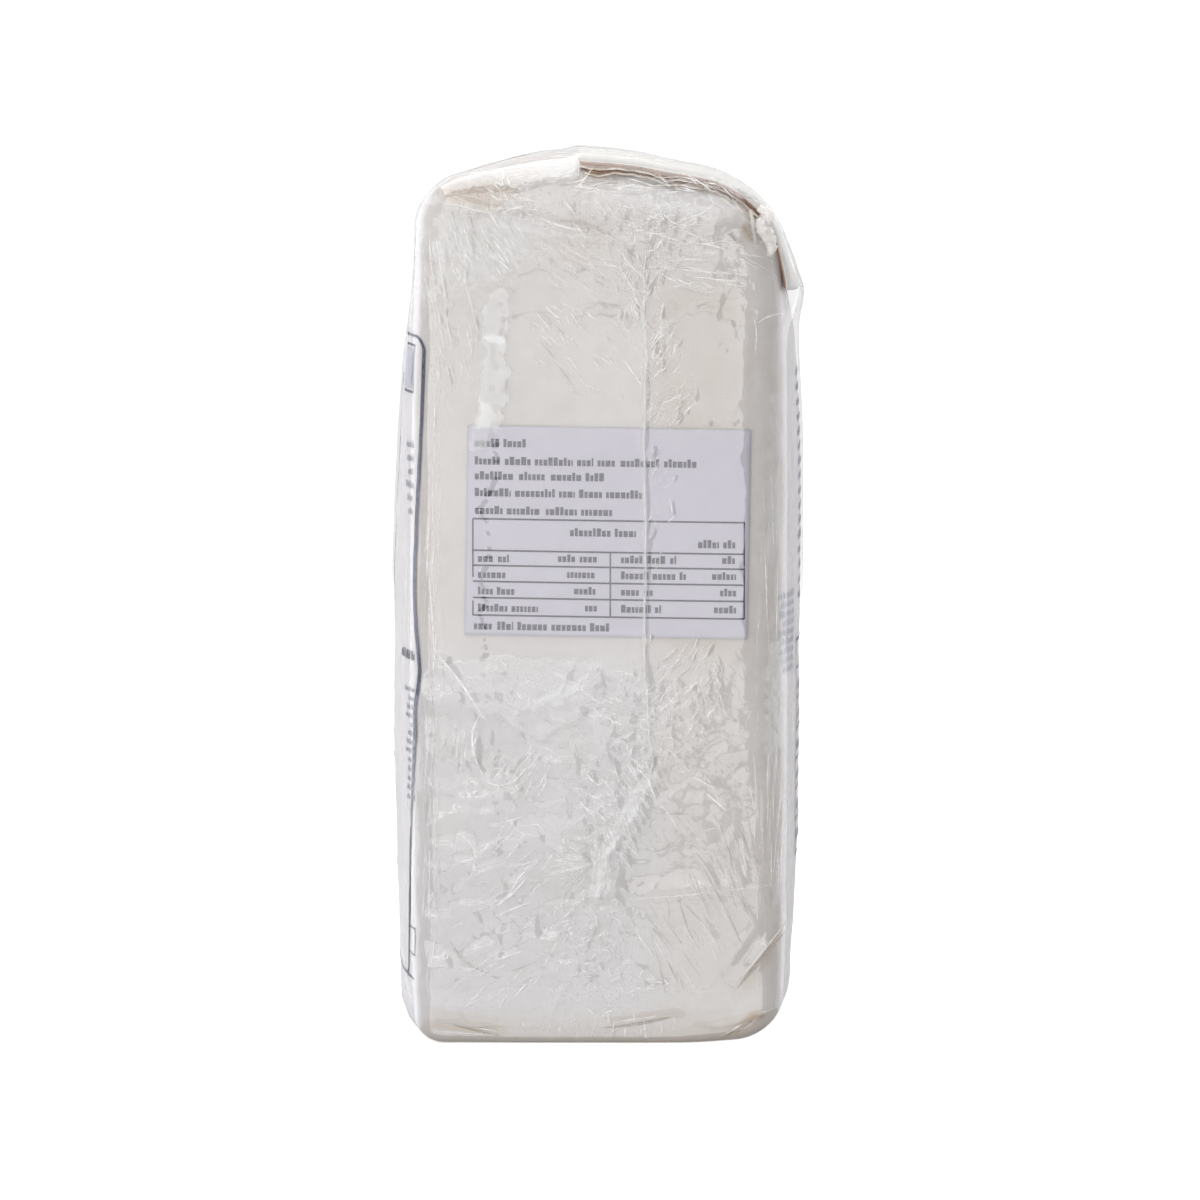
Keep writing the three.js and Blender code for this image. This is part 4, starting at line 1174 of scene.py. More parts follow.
def lamp(name, az, el, r, size, radiance, colour=(1, 1, 1), centre=None, mirrored=True):
    """A flat lamp at azimuth az (from +X towards +Y) and elevation el, as seen from the labelled side."""
    d = bpy.data.lights.new(name, "AREA")
    d.shape = "RECTANGLE"
    d.size, d.size_y = size
    d.energy = radiance * size[0] * size[1] * math.pi
    d.color = colour
    ob = bpy.data.objects.new(name, d)
    bpy.context.scene.collection.objects.link(ob)
    a, e = math.radians(az), math.radians(el)
    way = Vector((math.cos(e) * math.cos(a), math.cos(e) * math.sin(a), math.sin(e)))
    ob.location = FACE + way * r if centre is None else Vector(centre)
    ob.rotation_euler = (-way).to_track_quat("-Z", "Y").to_euler()
    ob.visible_camera = False
    ob.visible_glossy = mirrored
    return ob


# a low wide softbox beside the camera; its right end is what the taut film mirrors
lamp("front_lamp", -23, 0, 0.62, (0.80, 0.21), 1.80, centre=FACE + Vector((0.571, -0.242, 0.0)))
# dimmer light above it, and bounce from the table in front
lamp("front_high_lamp", -9, 31, 1.0, (0.80, 0.86), 1.78)
lamp("front_low_lamp", -8, -34, 1.0, (1.15, 0.92), 1.40)
lamp("left_lamp", -116, 4, 1.2, (1.3, 1.7), 0.80, (0.97, 0.98, 1.0))
lamp("right_lamp", 116, 4, 1.2, (1.3, 1.5), 0.60, (0.98, 0.985, 1.0))
# bounce off the walls, too soft to be mirrored
lamp("left_fill", -126, 4, 1.25, (1.3, 1.7), 2.85, (0.945, 0.96, 1.0), mirrored=False)
lamp("right_fill", 126, 4, 1.25, (1.3, 1.5), 2.40, (0.97, 0.98, 1.0), mirrored=False)
lamp("top_lamp", 180, 84, 1.0, (1.2, 1.0), 2.6)
lamp("back_lamp", 180, 34, 1.5, (1.7, 1.3), 0.55)

# ------------------------------------------------------------------ paper bag
bag_paper = paper_material(
    "bag_paper", srgb(209, 204, 201), srgb(200, 195, 191), wide=(1.24, 1.27, 1.33, 1), stain_and_shade=(0.80, 0.70, 0.58, 1),
    cool=(0.985, 1.01, 1.05, 1)
)
paper = Shell(27, 18, 96, 60, 4)
q = paper.q
p = fill(q)
n = normals_of(p, paper.quads, paper.tris)
p0 = p
p = p + n * (paper_relief(q, p) - film_gap(q, 0.35, 0.10))[:, None]
p[:, 2] = np.maximum(p[:, 2], 0.25)
bag = make_object("paper_bag", p, paper.quads.tolist() + [tuple(t) for t in paper.tris])
tone_and_shade_at = bag.data.attributes.new("tone_and_shade", "FLOAT", "POINT")
tone_and_shade_at.data.foreach_set("value", paper_tone_and_shade(q, p0).tolist())
cool_at = bag.data.attributes.new("cool", "FLOAT", "POINT")
cool_at.data.foreach_set("value", (plus_side(q) * smooth((100 - q[:, 2]) / 20) * smooth((22 - q[:, 1]) / 16)).tolist())
bag.data.materials.append(bag_paper)
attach(bag, "root")
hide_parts("wrapped_bag")


def face_x(y, z):
    """The labelled side's surface, in mm."""
    return HALF_LENGTH + narrow_bulge(y, z)


def paper_point(q):
    """Points on the paper, and how they move along x, y and z, for places q on the plain block."""
    e = 0.4
    out = []
    for d in ((0, 0, 0), (e, 0, 0), (0, e, 0), (0, 0, e)):
        out.append(fill(q + np.array(d)))
    jac = [(o - out[0]) / e for o in out[1:]]
    return out[0], jac


# ------------------------------------------------------------------ label
def label_grid(rows, cols, inner=0.0):
    a = math.radians(LABEL_TURN)
    u = np.linspace(-0.5, 0.5, cols + 1)[None, :] * (LABEL_W - inner)
    v = np.linspace(-0.5, 0.5, rows + 1)[:, None] * (LABEL_H - inner)
    y = LABEL_Y + u * math.cos(a) - v * math.sin(a)
    z = LABEL_Z + u * math.sin(a) + v * math.cos(a)
    return y, z


def label_lift(y, z):
    return 0.05 * N1.fbm(np.stack([y.ravel() / 9.0, z.ravel() / 9.0, y.ravel() * 0 + 2], 1), 2).reshape(y.shape)


def sheet(name, y, z, x0, thick, mat):
    """A thin sheet over a grid on the labelled side, closed round its rim."""
    r, c = y.shape
    lo = np.stack([face_x(y, z) + x0 + label_lift(y, z), y, z], -1)
    up = lo + np.array([thick, 0, 0])
    pts = np.concatenate([lo.reshape(-1, 3), up.reshape(-1, 3)])
    ids = np.arange(r * c).reshape(r, c)
    f = np.stack([ids[:-1, :-1], ids[:-1, 1:], ids[1:, 1:], ids[1:, :-1]], -1).reshape(-1, 4)
    faces = (f + r * c).tolist() + f[:, ::-1].tolist()
    rim = np.concatenate([ids[0, :-1], ids[:-1, -1], ids[-1, :0:-1], ids[:0:-1, 0]])
    nxt = np.roll(rim, -1)
    faces += np.stack([rim, nxt, nxt + r * c, rim + r * c], 1).tolist()
    ob = make_object(name, pts, faces)
    ob.data.materials.append(mat)
    return ob


label_paper = paper_material("label_paper", srgb(194, 190, 200), srgb(187, 183, 194), fibre=0.25, rough=0.5)
ly, lz = label_grid(48, 64)
label = sheet("label_sheet", ly, lz, 0.10, 0.16, label_paper)
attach(label, "root")
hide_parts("label")


class Print:
    """Thin printed marks laid on a surface; quadgrid() takes strips and fields as small quads."""

    def __init__(self):
        self.v, self.f, self.n = [], [], 0

    def quadgrid(self, pts):
        """pts: rows x cols x 3, in mm."""
        r, c, _ = pts.shape
        ids = self.n + np.arange(r * c).reshape(r, c)
        self.v.append(pts.reshape(-1, 3))
        self.f += np.stack([ids[:-1, :-1], ids[:-1, 1:], ids[1:, 1:], ids[1:, :-1]], -1).reshape(-1, 4).tolist()
        self.n += r * c

    def build(self, name, mat):
        ob = make_object(name, np.concatenate(self.v), self.f)
        ob.data.materials.append(mat)
        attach(ob, "root")
        return ob


def on_label(y, z, lift=0.30):
    return np.stack([face_x(y, z) + lift + label_lift(y, z), y, z], -1)


def label_bar(pr, x0, x1, y0, y1, lean=0.0):
    """A printed bar between px columns x0..x1 and rows y0..y1 of the frame; rows drop by lean px to the right."""
    n = max(2, int((x1 - x0) * PX / 1.5) + 1)
    u = np.linspace(x0, x1, n)
    rows = []
    for yy in (y1, y0):
        y, z = at(u, yy + lean * (u - x0))
        rows.append(on_label(y, z))
    pr.quadgrid(np.stack(rows))


LEAN = 0.0157
ink = Print()
rng = np.random.default_rng(8)


def rule(x0, x1, y, w=1.8):
    label_bar(ink, x0, x1, y - w / 2, y + w / 2, LEAN)


def upright(x, y0, y1, w=1.6):
    label_bar(ink, x - w / 2, x + w / 2, y0, y1)


for y in (515.4, 547.0, 562.0, 578.0, 594.3, 611.8):
    rule(473.0, 744.5, y)
upright(473.0, 515.4, 612.0)
upright(744.2, 519.7, 616.0)
upright(610.3, 549.2, 614.0)
soft = Print()


def words(x0, x1, y, size=1.0, gap=4.2):
    """A line of text stood in for by small blocks, in word-like runs."""
    x = x0
    while x < x1 - 3:
        run = min(rng.uniform(14, 46) * size, x1 - x)
        u = x
        while u < x + run - 1.2:
            wd = rng.uniform(2.6, 5.0) * size
            wd = min(wd, x + run - u)
            tall = 8.2 * size if rng.random() < 0.28 else 6.0 * size
            base = y + 3.9 * size + LEAN * (u - x0)
            label_bar(soft, u, u + wd, base - tall, base)
            u += wd + 1.0 * size
        x += run + gap * size


for x0, x1, y in ((475, 531, 439.6), (475, 697, 457.4), (475, 606, 472.3), (475, 642, 489.0), (475, 612, 506.8),
                  (570, 636, 529.0), (698, 736, 541.0), (474, 615, 622.4)):
    words(x0, x1, y)
for k, (y, a, b, c_, d_) in enumerate(((555.0, 31, 39, 55, 14), (571.0, 34, 30, 66, 24), (587.5, 38, 23, 33, 16), (604.5, 60, 12, 40, 22))):
    words(478, 478 + a, y, 0.95)
    words(597 - b, 597, y, 0.95)
    words(621, 621 + c_, y + 1.2, 0.95)
    words(736 - d_, 736, y + 2.0, 0.95)
ink_dark = ink_material("label_ink", srgb(38, 36, 52), srgb(170, 167, 178))
ink_soft = ink_material("label_ink_soft", srgb(56, 54, 70), srgb(170, 167, 178))
ink.build("label_rules", ink_dark)
soft.build("label_lines", ink_soft)

# ------------------------------------------------------------------ print on the wide faces
# seen from the labelled side, the front face's border runs down the corner: px column for each px row
BORDER = np.array([(338, 424), (354, 423.8), (424, 421.4), (495, 417.4), (566, 414.3), (613, 414.6), (660, 419.3),
                   (679, 420), (704, 414), (725, 415.3), (778, 412.3), (824, 411), (870, 410), (915, 409.5), (970, 408.4)])


def project(p):
    """px column and row in the 1200 px frame."""
    a = np.array(AIM) / MM
    c = np.array(cam.location) / MM
    fwd = (a - c) / np.linalg.norm(a - c)
    right = np.array([0.0, 1.0, 0.0])
    up = np.cross(right, fwd)
    d = p - c
    depth = d @ fwd
    s = DIST / MM / depth
    return 600 + (d @ right) * s / PX, 600 - (d @ up) * s / PX


def corner_track(z, side=-1):
    """Places q round the corner of the labelled side at height z, from the wide face to the narrow one."""
    r = RIM["upright"]
    flat = np.linspace(HALF_LENGTH - 26, HALF_LENGTH - r, 90)
    ang = np.radians(np.linspace(0, 90, 60))
    x = np.concatenate([flat, HALF_LENGTH - r * (1 - np.sin(ang))])
    inset = np.concatenate([flat * 0, r * (1 - np.cos(ang))])
    wall = FRONT_Y if side < 0 else BACK_Y
    y = wall + (-side) * inset * 1.0
    return np.stack([x, y, np.full(len(x), z)], 1)


def wide_pts(x, z, side, lift=0.12):
    """Points on the wide face (side -1 front, 1 back), for plain-block x and z."""
    wall = FRONT_Y if side < 0 else BACK_Y
    r = RIM["upright"]
    over = np.clip(np.abs(x) - (HALF_LENGTH - r), 0, r)
    inset = r - np.sqrt(np.maximum(r * r - over * over, 0))
    q = np.stack([x.ravel(), (wall - side * inset).ravel(), z.ravel()], 1)
    p = fill(q)
    rel = paper_relief(q, p) - 0.35
    nx = np.sign(x.ravel()) * over.ravel() / r
    ny = side * np.sqrt(np.maximum(1 - nx**2, 0))
    p = p + np.stack([nx, ny, nx * 0], 1) * (rel + lift)[:, None]
    return p.reshape(x.shape + (3,))


navy = Print()
pale = Print()
warm = Print()
grey = Print()


def wide_rect(pr, x0, x1, z0, z1, side, lift=0.12):
    nx = max(2, int(abs(x1 - x0) / 1.6) + 1)
    nz = max(2, int(abs(z1 - z0) / 1.6) + 1)
    x, z = np.meshgrid(np.linspace(x0, x1, nx), np.linspace(z0, z1, nz))
    pts = wide_pts(x, z, side, lift)
    pr.quadgrid(pts if side < 0 else pts[:, ::-1])


def wide_disc(pr, cx, cz, rx, rz, side, lift=0.12, inner=0.0, a0=0, a1=360):
    t = np.radians(np.linspace(a0, a1, 73))[:, None]
    k = np.linspace(inner, 1, max(2, int(max(rx, rz) * (1 - inner) / 1.8) + 1))[None, :]
    x, z = cx + rx * k * np.cos(t), cz + rz * k * np.sin(t)
    pts = wide_pts(x, z, side, lift)
    pr.quadgrid(pts if side < 0 else pts[:, ::-1])


def strip(pr, path, width, side, lift=0.14):
    """A printed line of given width (one, or one for each point) along (x, z) points on a wide face."""
    path = np.asarray(path, float)
    width = np.broadcast_to(np.asarray(width, float), (len(path),))[:, None]
    seg = np.gradient(path, axis=0)
    seg /= np.maximum(np.linalg.norm(seg, axis=1), 1e-9)[:, None]
    nrm = np.stack([-seg[:, 1], seg[:, 0]], 1)
    a, b = path + nrm * width / 2, path - nrm * width / 2
    x = np.stack([a[:, 0], b[:, 0]], 1)
    z = np.stack([a[:, 1], b[:, 1]], 1)
    pr.quadgrid(wide_pts(x, z, side, lift))


# where the near run of the front border lies, so that it shows where the photo has it
zs = np.linspace(17.5, 156.0, 120)
near_x, near_w = [], []
for z in zs:
    tr = corner_track(z)
    x_ = tr[:, 0]
    cols_, rows_ = project(wide_pts(x_, np.full(len(x_), z), -1))
    target = np.interp(rows_.mean(), BORDER[:, 0], BORDER[:, 1])
    ok = np.argsort(cols_)
    near_x.append(float(np.clip(np.interp(target, cols_[ok], x_[ok]), 47, HALF_LENGTH - 0.5)))
    # as wide as it looks there, about 3.4 px
    a_, b_ = np.interp([target - 1.7, target + 1.7], cols_[ok], x_[ok])
    near_w.append(float(np.clip(abs(b_ - a_), 0.5, 1.9)))
near_x = np.array(near_x)
near_x = np.convolve(np.pad(near_x, 3, mode="edge"), np.ones(7) / 7, mode="valid")
near_w = np.convolve(np.pad(near_w, 3, mode="edge"), np.ones(7) / 7, mode="valid")
t = np.radians(np.linspace(0, 90, 9))
corner_up = [(near_x[-1] - 3.4 * (1 - math.cos(a)), 156.0 + 3.4 * math.sin(a)) for a in t[1:]]
corner_dn = [(near_x[0] - 3.4 * (1 - math.sin(a)), 17.5 - 3.4 * math.cos(a)) for a in t[:-1]]
near_run = corner_dn + list(zip(near_x, zs)) + corner_up
strip(navy, near_run, np.concatenate([np.full(len(corner_dn), near_w[0]), near_w, np.linspace(near_w[-1], 0.7, len(corner_up))]), -1)
far_x = -56.0
top_y = np.linspace(near_run[-1][0], far_x + 3.4, 90)
strip(navy, [(x_, near_run[-1][1]) for x_ in top_y], 0.6, -1)
strip(navy, [(x_, near_run[0][1]) for x_ in top_y], 0.6, -1)
arc_u = [(far_x + 3.4 * (1 - math.sin(a)), 156.0 + 3.4 * math.cos(a)) for a in t]
arc_d = [(far_x + 3.4 * (1 - math.cos(a)), 17.5 - 3.4 * math.sin(a)) for a in t]
strip(navy, arc_u + [(far_x, z) for z in np.linspace(156, 17.5, 100)[1:]] + arc_d[1:], 0.6, -1)

# a small outlined box near the top, and generic fields and shapes on the front
def box_line(pr, x0, x1, z0, z1, w, side):
    wide_rect(pr, x0, x1, z0, z0 + w, side, 0.14)
    wide_rect(pr, x0, x1, z1 - w, z1, side, 0.14)
    wide_rect(pr, x0, x0 + w, z0, z1, side, 0.14)
    wide_rect(pr, x1 - w, x1, z0, z1, side, 0.14)


box_line(navy, 34, 55.5, 146.6, 157.6, 0.55, -1)
wide_rect(pale, 35, 54.5, 147.6, 156.6, -1, 0.10)
wide_rect(navy, 52.5, 53.4, 148.6, 155.6, -1, 0.15)


def blocks(pr, x0, x1, z, size, side, seed):
    r_ = np.random.default_rng(seed)
    x = x0
    while x < x1 - 1:
        run = min(r_.uniform(3.0, 11.0) * size, x1 - x)
        u = x
        while u < x + run - 0.3:
            wd = min(r_.uniform(0.6, 1.2) * size, x + run - u)
            tall = (1.9 if r_.random() < 0.25 else 1.35) * size
            nx = np.array([[u, u + wd], [u, u + wd]])
            nz = np.array([[z, z], [z + tall, z + tall]])
            pts = wide_pts(nx, nz, side, 0.13)
            pr.quadgrid(pts if side < 0 else pts[:, ::-1])
            u += wd + 0.28 * size
        x += run + 1.1 * size


# front: a pale field with a plain grain shape, greeked lines in narrow columns
wide_rect(pale, -50, 10, 88, 150, -1, 0.09)
box_line(navy, -50, 10, 88, 150, 0.6, -1)
wide_disc(warm, -20, 119, 25, 25, -1, 0.13)
wide_disc(navy, -20, 119, 26.2, 26.2, -1, 0.14, inner=0.965)
for k in range(7):
    zc = 103 + 4.6 * k
    for sgn in (-1, 1):
        a = math.radians(62) * sgn
        tt = np.radians(np.linspace(0, 360, 25))[:, None]
        kk = np.linspace(0, 1, 3)[None, :]
        ex, ez = 1.5 * kk * np.cos(tt), 3.6 * kk * np.sin(tt)
        x = -20 + sgn * 2.6 + ex * math.cos(a / 2) + ez * math.sin(a / 2)
        z = zc + ez * math.cos(a / 2) - ex * math.sin(a / 2)
        grey.quadgrid(wide_pts(x, z, -1, 0.16))
wide_disc(grey, -20, 137, 1.5, 4.0, -1, 0.16)
strip(grey, [(-20, z) for z in np.linspace(98, 137, 30)], 0.7, -1)
for k in range(5):
    blocks(grey, -46, 12, 76 - 5.2 * k, 1.3 if k < 2 else 1.0, -1, 40 + k)
for k, zz in enumerate((134.5, 131.5, 128.5, 125.5, 122.5, 119.6)):
    blocks(grey, 45 + (k % 3) * 2, 56.5, zz, 0.8, -1, 60 + k)
blocks(navy, 40, 57.5, 86.8, 1.1, -1, 70)
for k in range(8):
    blocks(grey, 47 + (k * 5) % 7, 57.6, 79.5 - 2.0 * k, 0.62, -1, 71 + k)
for k in range(5):
    blocks(grey, 50, 57.6, 63.4 - 2.1 * k, 0.62, -1, 81 + k)
box_line(navy, 48, 57.2, 19.6, 26.0, 0.4, -1)
blocks(grey, -46, 12, 40, 0.9, -1, 90)
blocks(grey, -46, 12, 35, 0.9, -1, 91)
blocks(navy, -46, 2, 30, 1.0, -1, 92)

# back: a grey greeked block near the labelled side, and columns of lines
for k in range(9):
    blocks(pale, 40, 58.6, 100.5 - 2.1 * k, 0.85, 1, 110 + k)
for k in range(16):
    blocks(grey, -48, 30, 150 - 3.4 * k, 1.0, 1, 130 + k)
box_line(navy, -50, 34, 40, 90, 0.6, 1)
for k in range(6):
    wide_rect(navy, -50, 34, 48 + 7 * k, 48.35 + 7 * k, 1, 0.13)
    blocks(grey, -47, -18, 43 + 7 * k, 1.2, 1, 150 + k)
    blocks(grey, 14, 30, 43 + 7 * k, 1.2, 1, 160 + k)
navy_ink = ink_material("navy_ink", srgb(42, 46, 78), srgb(200, 198, 204))
pale_ink = ink_material("pale_ink", srgb(188, 190, 202), srgb(200, 198, 204), 0.6)
warm_ink = ink_material("warm_ink", srgb(206, 200, 188), srgb(205, 200, 194), 0.6)
grey_ink = ink_material("grey_ink", srgb(150, 150, 162), srgb(200, 198, 204))
navy.build("print_navy", navy_ink)
pale.build("print_pale", pale_ink)
warm.build("print_warm", warm_ink)
grey.build("print_grey", grey_ink)


# ------------------------------------------------------------------ rolled top flap
def top_path(s):
    """Plain-block (y, z) and outward direction, s mm along the top from the flap's start to the back."""
    run1 = BACK_Y - CORNER["tb"] - FLAP_START_Y
    r = CORNER["tb"]
    run2 = r * math.pi / 2
    a = np.clip((s - run1) / r, 0, math.pi / 2)
    y = np.where(s < run1, FLAP_START_Y + s, BACK_Y - r + r * np.sin(a))
    z = np.where(s < run1, SHOULDER_Z, SHOULDER_Z - r + r * np.cos(a))
    z = np.where(s > run1 + run2, z - (s - run1 - run2), z)
    return y, z, np.sin(a), np.cos(a)


def bump(s, centre, width):
    return np.exp(-(((s - centre) / width) ** 2))


def flap_layer(name, s0, s1, half, offset, thick, seed, mat_out, mat_in, ns=96, nx=120, sag=1.0, ragged=0.35, ends=None):
    """One ply or roll of the flap: a closed band along the pack, from its outer surface down by its thickness."""
    s = np.linspace(s0, s1, ns)
    y, z, ny, nz = top_path(s)
    rag = ragged * N2(np.stack([s / 2.2, s * 0 + seed, s * 0], 1)) + 0.5 * ragged * N1(np.stack([s / 0.7, s * 0 + seed, s * 0], 1))
    u = np.linspace(-1, 1, nx)
    u = np.sign(u) * np.abs(u) ** 0.7
    reach = half + rag if ends is None else half + rag + ends(s)
    X = u[None, :] * reach[:, None]
    off = offset(s)[:, None] + 0.12 * N3.fbm(np.stack([X.ravel() / 16, np.repeat(s, nx) / 9, X.ravel() * 0 + 4], 1), 2).reshape(X.shape)
    droop = sag * smooth((np.abs(X) - 47) / 14)
    o1 = off - droop
    deep = thick(s)[:, None] + 0 * X
    # the ends and the free edges are rounded over
    near_end = np.clip((np.abs(X) - reach[:, None] + 0.8) / 0.8, 0, 1)
    round_ = 1 - np.sqrt(np.clip(1 - near_end**2, 0, 1))
    edge = np.clip(1 - np.minimum(s - s0, s1 - s) / 0.8, 0, 1)[:, None]
    round_ = np.maximum(round_, 1 - np.sqrt(np.clip(1 - edge**2, 0, 1)))
    o0 = o1 - deep + 0.36 * deep * round_
    o1 = o1 - 0.36 * deep * round_
    pts = []
    for o in (o0, o1):
        q = np.stack([X.ravel(), (y[:, None] + ny[:, None] * o).ravel(), (z[:, None] + nz[:, None] * o).ravel()], 1)
        pts.append(fill(q))
    nn = ns * nx
    ids = np.arange(nn).reshape(ns, nx)
    f = np.stack([ids[:-1, :-1], ids[:-1, 1:], ids[1:, 1:], ids[1:, :-1]], -1).reshape(-1, 4)
    outer = (f[:, ::-1] + nn).tolist()
    inner = f.tolist()
    rim = np.concatenate([ids[0, :-1], ids[:-1, -1], ids[-1, :0:-1], ids[:0:-1, 0]])
    nxt = np.roll(rim, -1)
    side = np.stack([rim, rim + nn, nxt + nn, nxt], 1).tolist()
    ob = make_object(name, np.concatenate(pts), outer + inner + side)
    ob.data.materials.append(mat_out)
    ob.data.materials.append(mat_in)
    idx = [0] * len(outer) + [1] * len(inner) + [0] * len(side)
    ob.data.polygons.foreach_set("material_index", idx)
    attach(ob, "root")
    return ob


def wiggle(s, seed, step=2.4):
    return N2.fbm(np.stack([s / step, s * 0 + seed, s * 0 + 0.5], 1), 3)


L_END = 62.3
# the stack of the closure, each surface measured outwards from the top of the pack
roll_top = lambda s: 1.15 + 0.85 * smooth((s - 1) / 14) - 1.0 * smooth((s - 26) / 14) + 1.5 * bump(s, 61.5, 6)
roll_deep = lambda s: 2.25 - 0.10 * wiggle(s, 3) - 0.75 * smooth((s - 38) / 16)
gap_1 = lambda s: np.clip(0.06 + 0.20 * wiggle(s, 5, 1.7) + 0.68 * bump(s, 19.6, 2.0) + 0.40 * bump(s, 4.0, 3.0) + 0.22 * bump(s, 33.0, 2.0)
                          + 1.25 * smooth((s - 46) / 14), 0.05, 3)
ply_deep = lambda s: 0.70 + 0.12 * wiggle(s, 7)
gap_2 = lambda s: np.clip(0.10 + 0.20 * wiggle(s, 9, 1.6) + 0.45 * bump(s, 4.4, 2.6) + 0.28 * bump(s, 23.5, 1.2) + 0.24 * bump(s, 27.6, 1.0), 0.03, 3)
roll_under = lambda s: roll_top(s) - roll_deep(s)
ply_top = lambda s: roll_under(s) - gap_1(s)
ply_under = lambda s: ply_top(s) - ply_deep(s)
low_top = lambda s: ply_under(s) - gap_2(s)
flap_white = paper_material("flap_paper", srgb(222, 220, 217), srgb(212, 209, 205), rough=0.5)
flap_edge = paper_material("flap_edge", srgb(226, 220, 209), srgb(214, 204, 188), rough=0.55)
kraft = paper_material("kraft_paper", srgb(186, 144, 112), srgb(138, 98, 74), fibre=0.8, rough=0.75)
flap_layer("flap_roll", 0.0, L_END, 57.6, roll_top, roll_deep, 1, flap_white, kraft, nx=140)
flap_layer("flap_lining", 0.8, L_END - 1.0, 57.7, lambda s: roll_under(s) + 0.03, lambda s: gap_1(s) * (1 - 0.75 * smooth((s - 44) / 6)) + 0.06, 2,
           kraft, kraft, ragged=0.5, ends=lambda s: -3.2 * smooth((s - 43) / 5))
flap_layer("flap_ply", 0.5, L_END - 0.4, 57.9, ply_top, ply_deep, 3, flap_edge, kraft, ragged=0.25)
flap_layer("flap_inner", 1.4, 44.0, 58.0, lambda s: ply_under(s) + 0.03, lambda s: gap_2(s) + 0.06, 5, kraft, kraft, ns=70, ragged=0.5)
flap_layer("flap_under", 0.9, 46.0, 58.4, low_top, lambda s: 0.62 + 0 * s, 6, flap_edge, kraft, ns=70, sag=1.2, ragged=0.25)

# ------------------------------------------------------------------ film
film = Shell(52, 33, 205, 76, 5)
q = film.q
p = fill(q)
n = normals_of(p, film.quads, film.tris)
near = plus_side(q)
ids = np.nonzero(near > 0.02)[0]
h = film_relief(q)
eh, em, e_lean, e_webs, e_folds, LINES, DARKS = film_label_side(p[ids, 1], p[ids, 2])
extra, milk_and_sheen = np.zeros(len(q)), np.zeros(len(q))
extra[ids], milk_and_sheen[ids] = eh, em * near[ids]
lean, folds = np.zeros(len(q)), np.zeros(len(q))
crinkle = 0.30 * smooth(0.2 + 1.2 * N3.fbm(q / 19.0, 2)) + 0.45 * smooth((q[:, 2] - 184) / 8)
lean[ids], folds[ids] = e_lean * near[ids], e_folds * near[ids]
crinkle[ids] = mix(crinkle[ids], e_webs, near[ids])
folds += (1 - near) * 0.12 * smooth((q[:, 2] - 8) / 20) * smooth((180 - q[:, 2]) / 20)
far = smooth((-q[:, 0] - (HALF_LENGTH - 7.5)) / 6.0)
ids = np.nonzero(far > 0.02)[0]
fh, fm, FAR_LINES, FAR_DARKS = film_far_side(p[ids, 1], p[ids, 2])
far_extra = np.zeros(len(q))
far_extra[ids] = fh
milk_and_sheen[ids] = fm * far[ids]
h = h * (1 - 0.7 * near) + extra * near + far_extra * far
lip = smooth((q[:, 1] - 22) / 8) * smooth((59.5 - np.abs(q[:, 0])) / 3.5)
flap_h = flap_cover(q) * (1.25 + 0.85 * smooth((q[:, 1] + 3) / 14) - 1.0 * smooth((q[:, 1] - 22) / 12)) + 3.2 * lip * np.exp(-(((q[:, 2] - 170) / 6.5) ** 2))
h *= mix(0.35, 1.0, smooth((q[:, 2] - 2) / 14))
h += film_gap(q, 0.35, 0.12) + 0.25 * near * smooth((q[:, 2] - 4) / 16)
h += flap_h
p = p + n * h[:, None]
p[:, 2] = np.maximum(p[:, 2], 0.02)
clear_film = film_material("clear_film", upright_folds=True)
tris = np.array(film.tris)


def film_piece(name, p_, faces, milk_and_sheen_, mat, lean_=None, crinkle_=None, folds_=None):
    ob = make_object(name, p_, faces)
    for key, val in (("milk_and_sheen", milk_and_sheen_), ("lean", lean_), ("crinkle", crinkle_), ("folds", folds_)):
        a = ob.data.attributes.new(key, "FLOAT", "POINT")
        val = np.full(len(p_), 0.6 if key == "crinkle" else 0.0) if val is None else np.asarray(val, float)
        a.data.foreach_set("value", val.tolist())
    ob.data.materials.append(mat)
    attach(ob, "root")
    return ob


for name, front in (("film_front_web", True), ("film_back_web", False)):
    qy_q = q[film.quads].mean(1)
    qy_t = q[tris].mean(1)
    keep_q = film.quads[(qy_q[:, 1] < SEAM_Y) == front]
    keep_t = tris[(qy_t[:, 1] < SEAM_Y) == front]
    used = np.unique(np.concatenate([keep_q.ravel(), keep_t.ravel()]))
    remap = np.full(len(q), -1)
    remap[used] = np.arange(len(used))
    film_piece(name, p[used], remap[keep_q].tolist() + remap[keep_t].tolist(), milk_and_sheen[used], clear_film,
               lean[used], crinkle[used], folds[used])
    print(name, "triangles", 2 * len(keep_q) + len(keep_t))


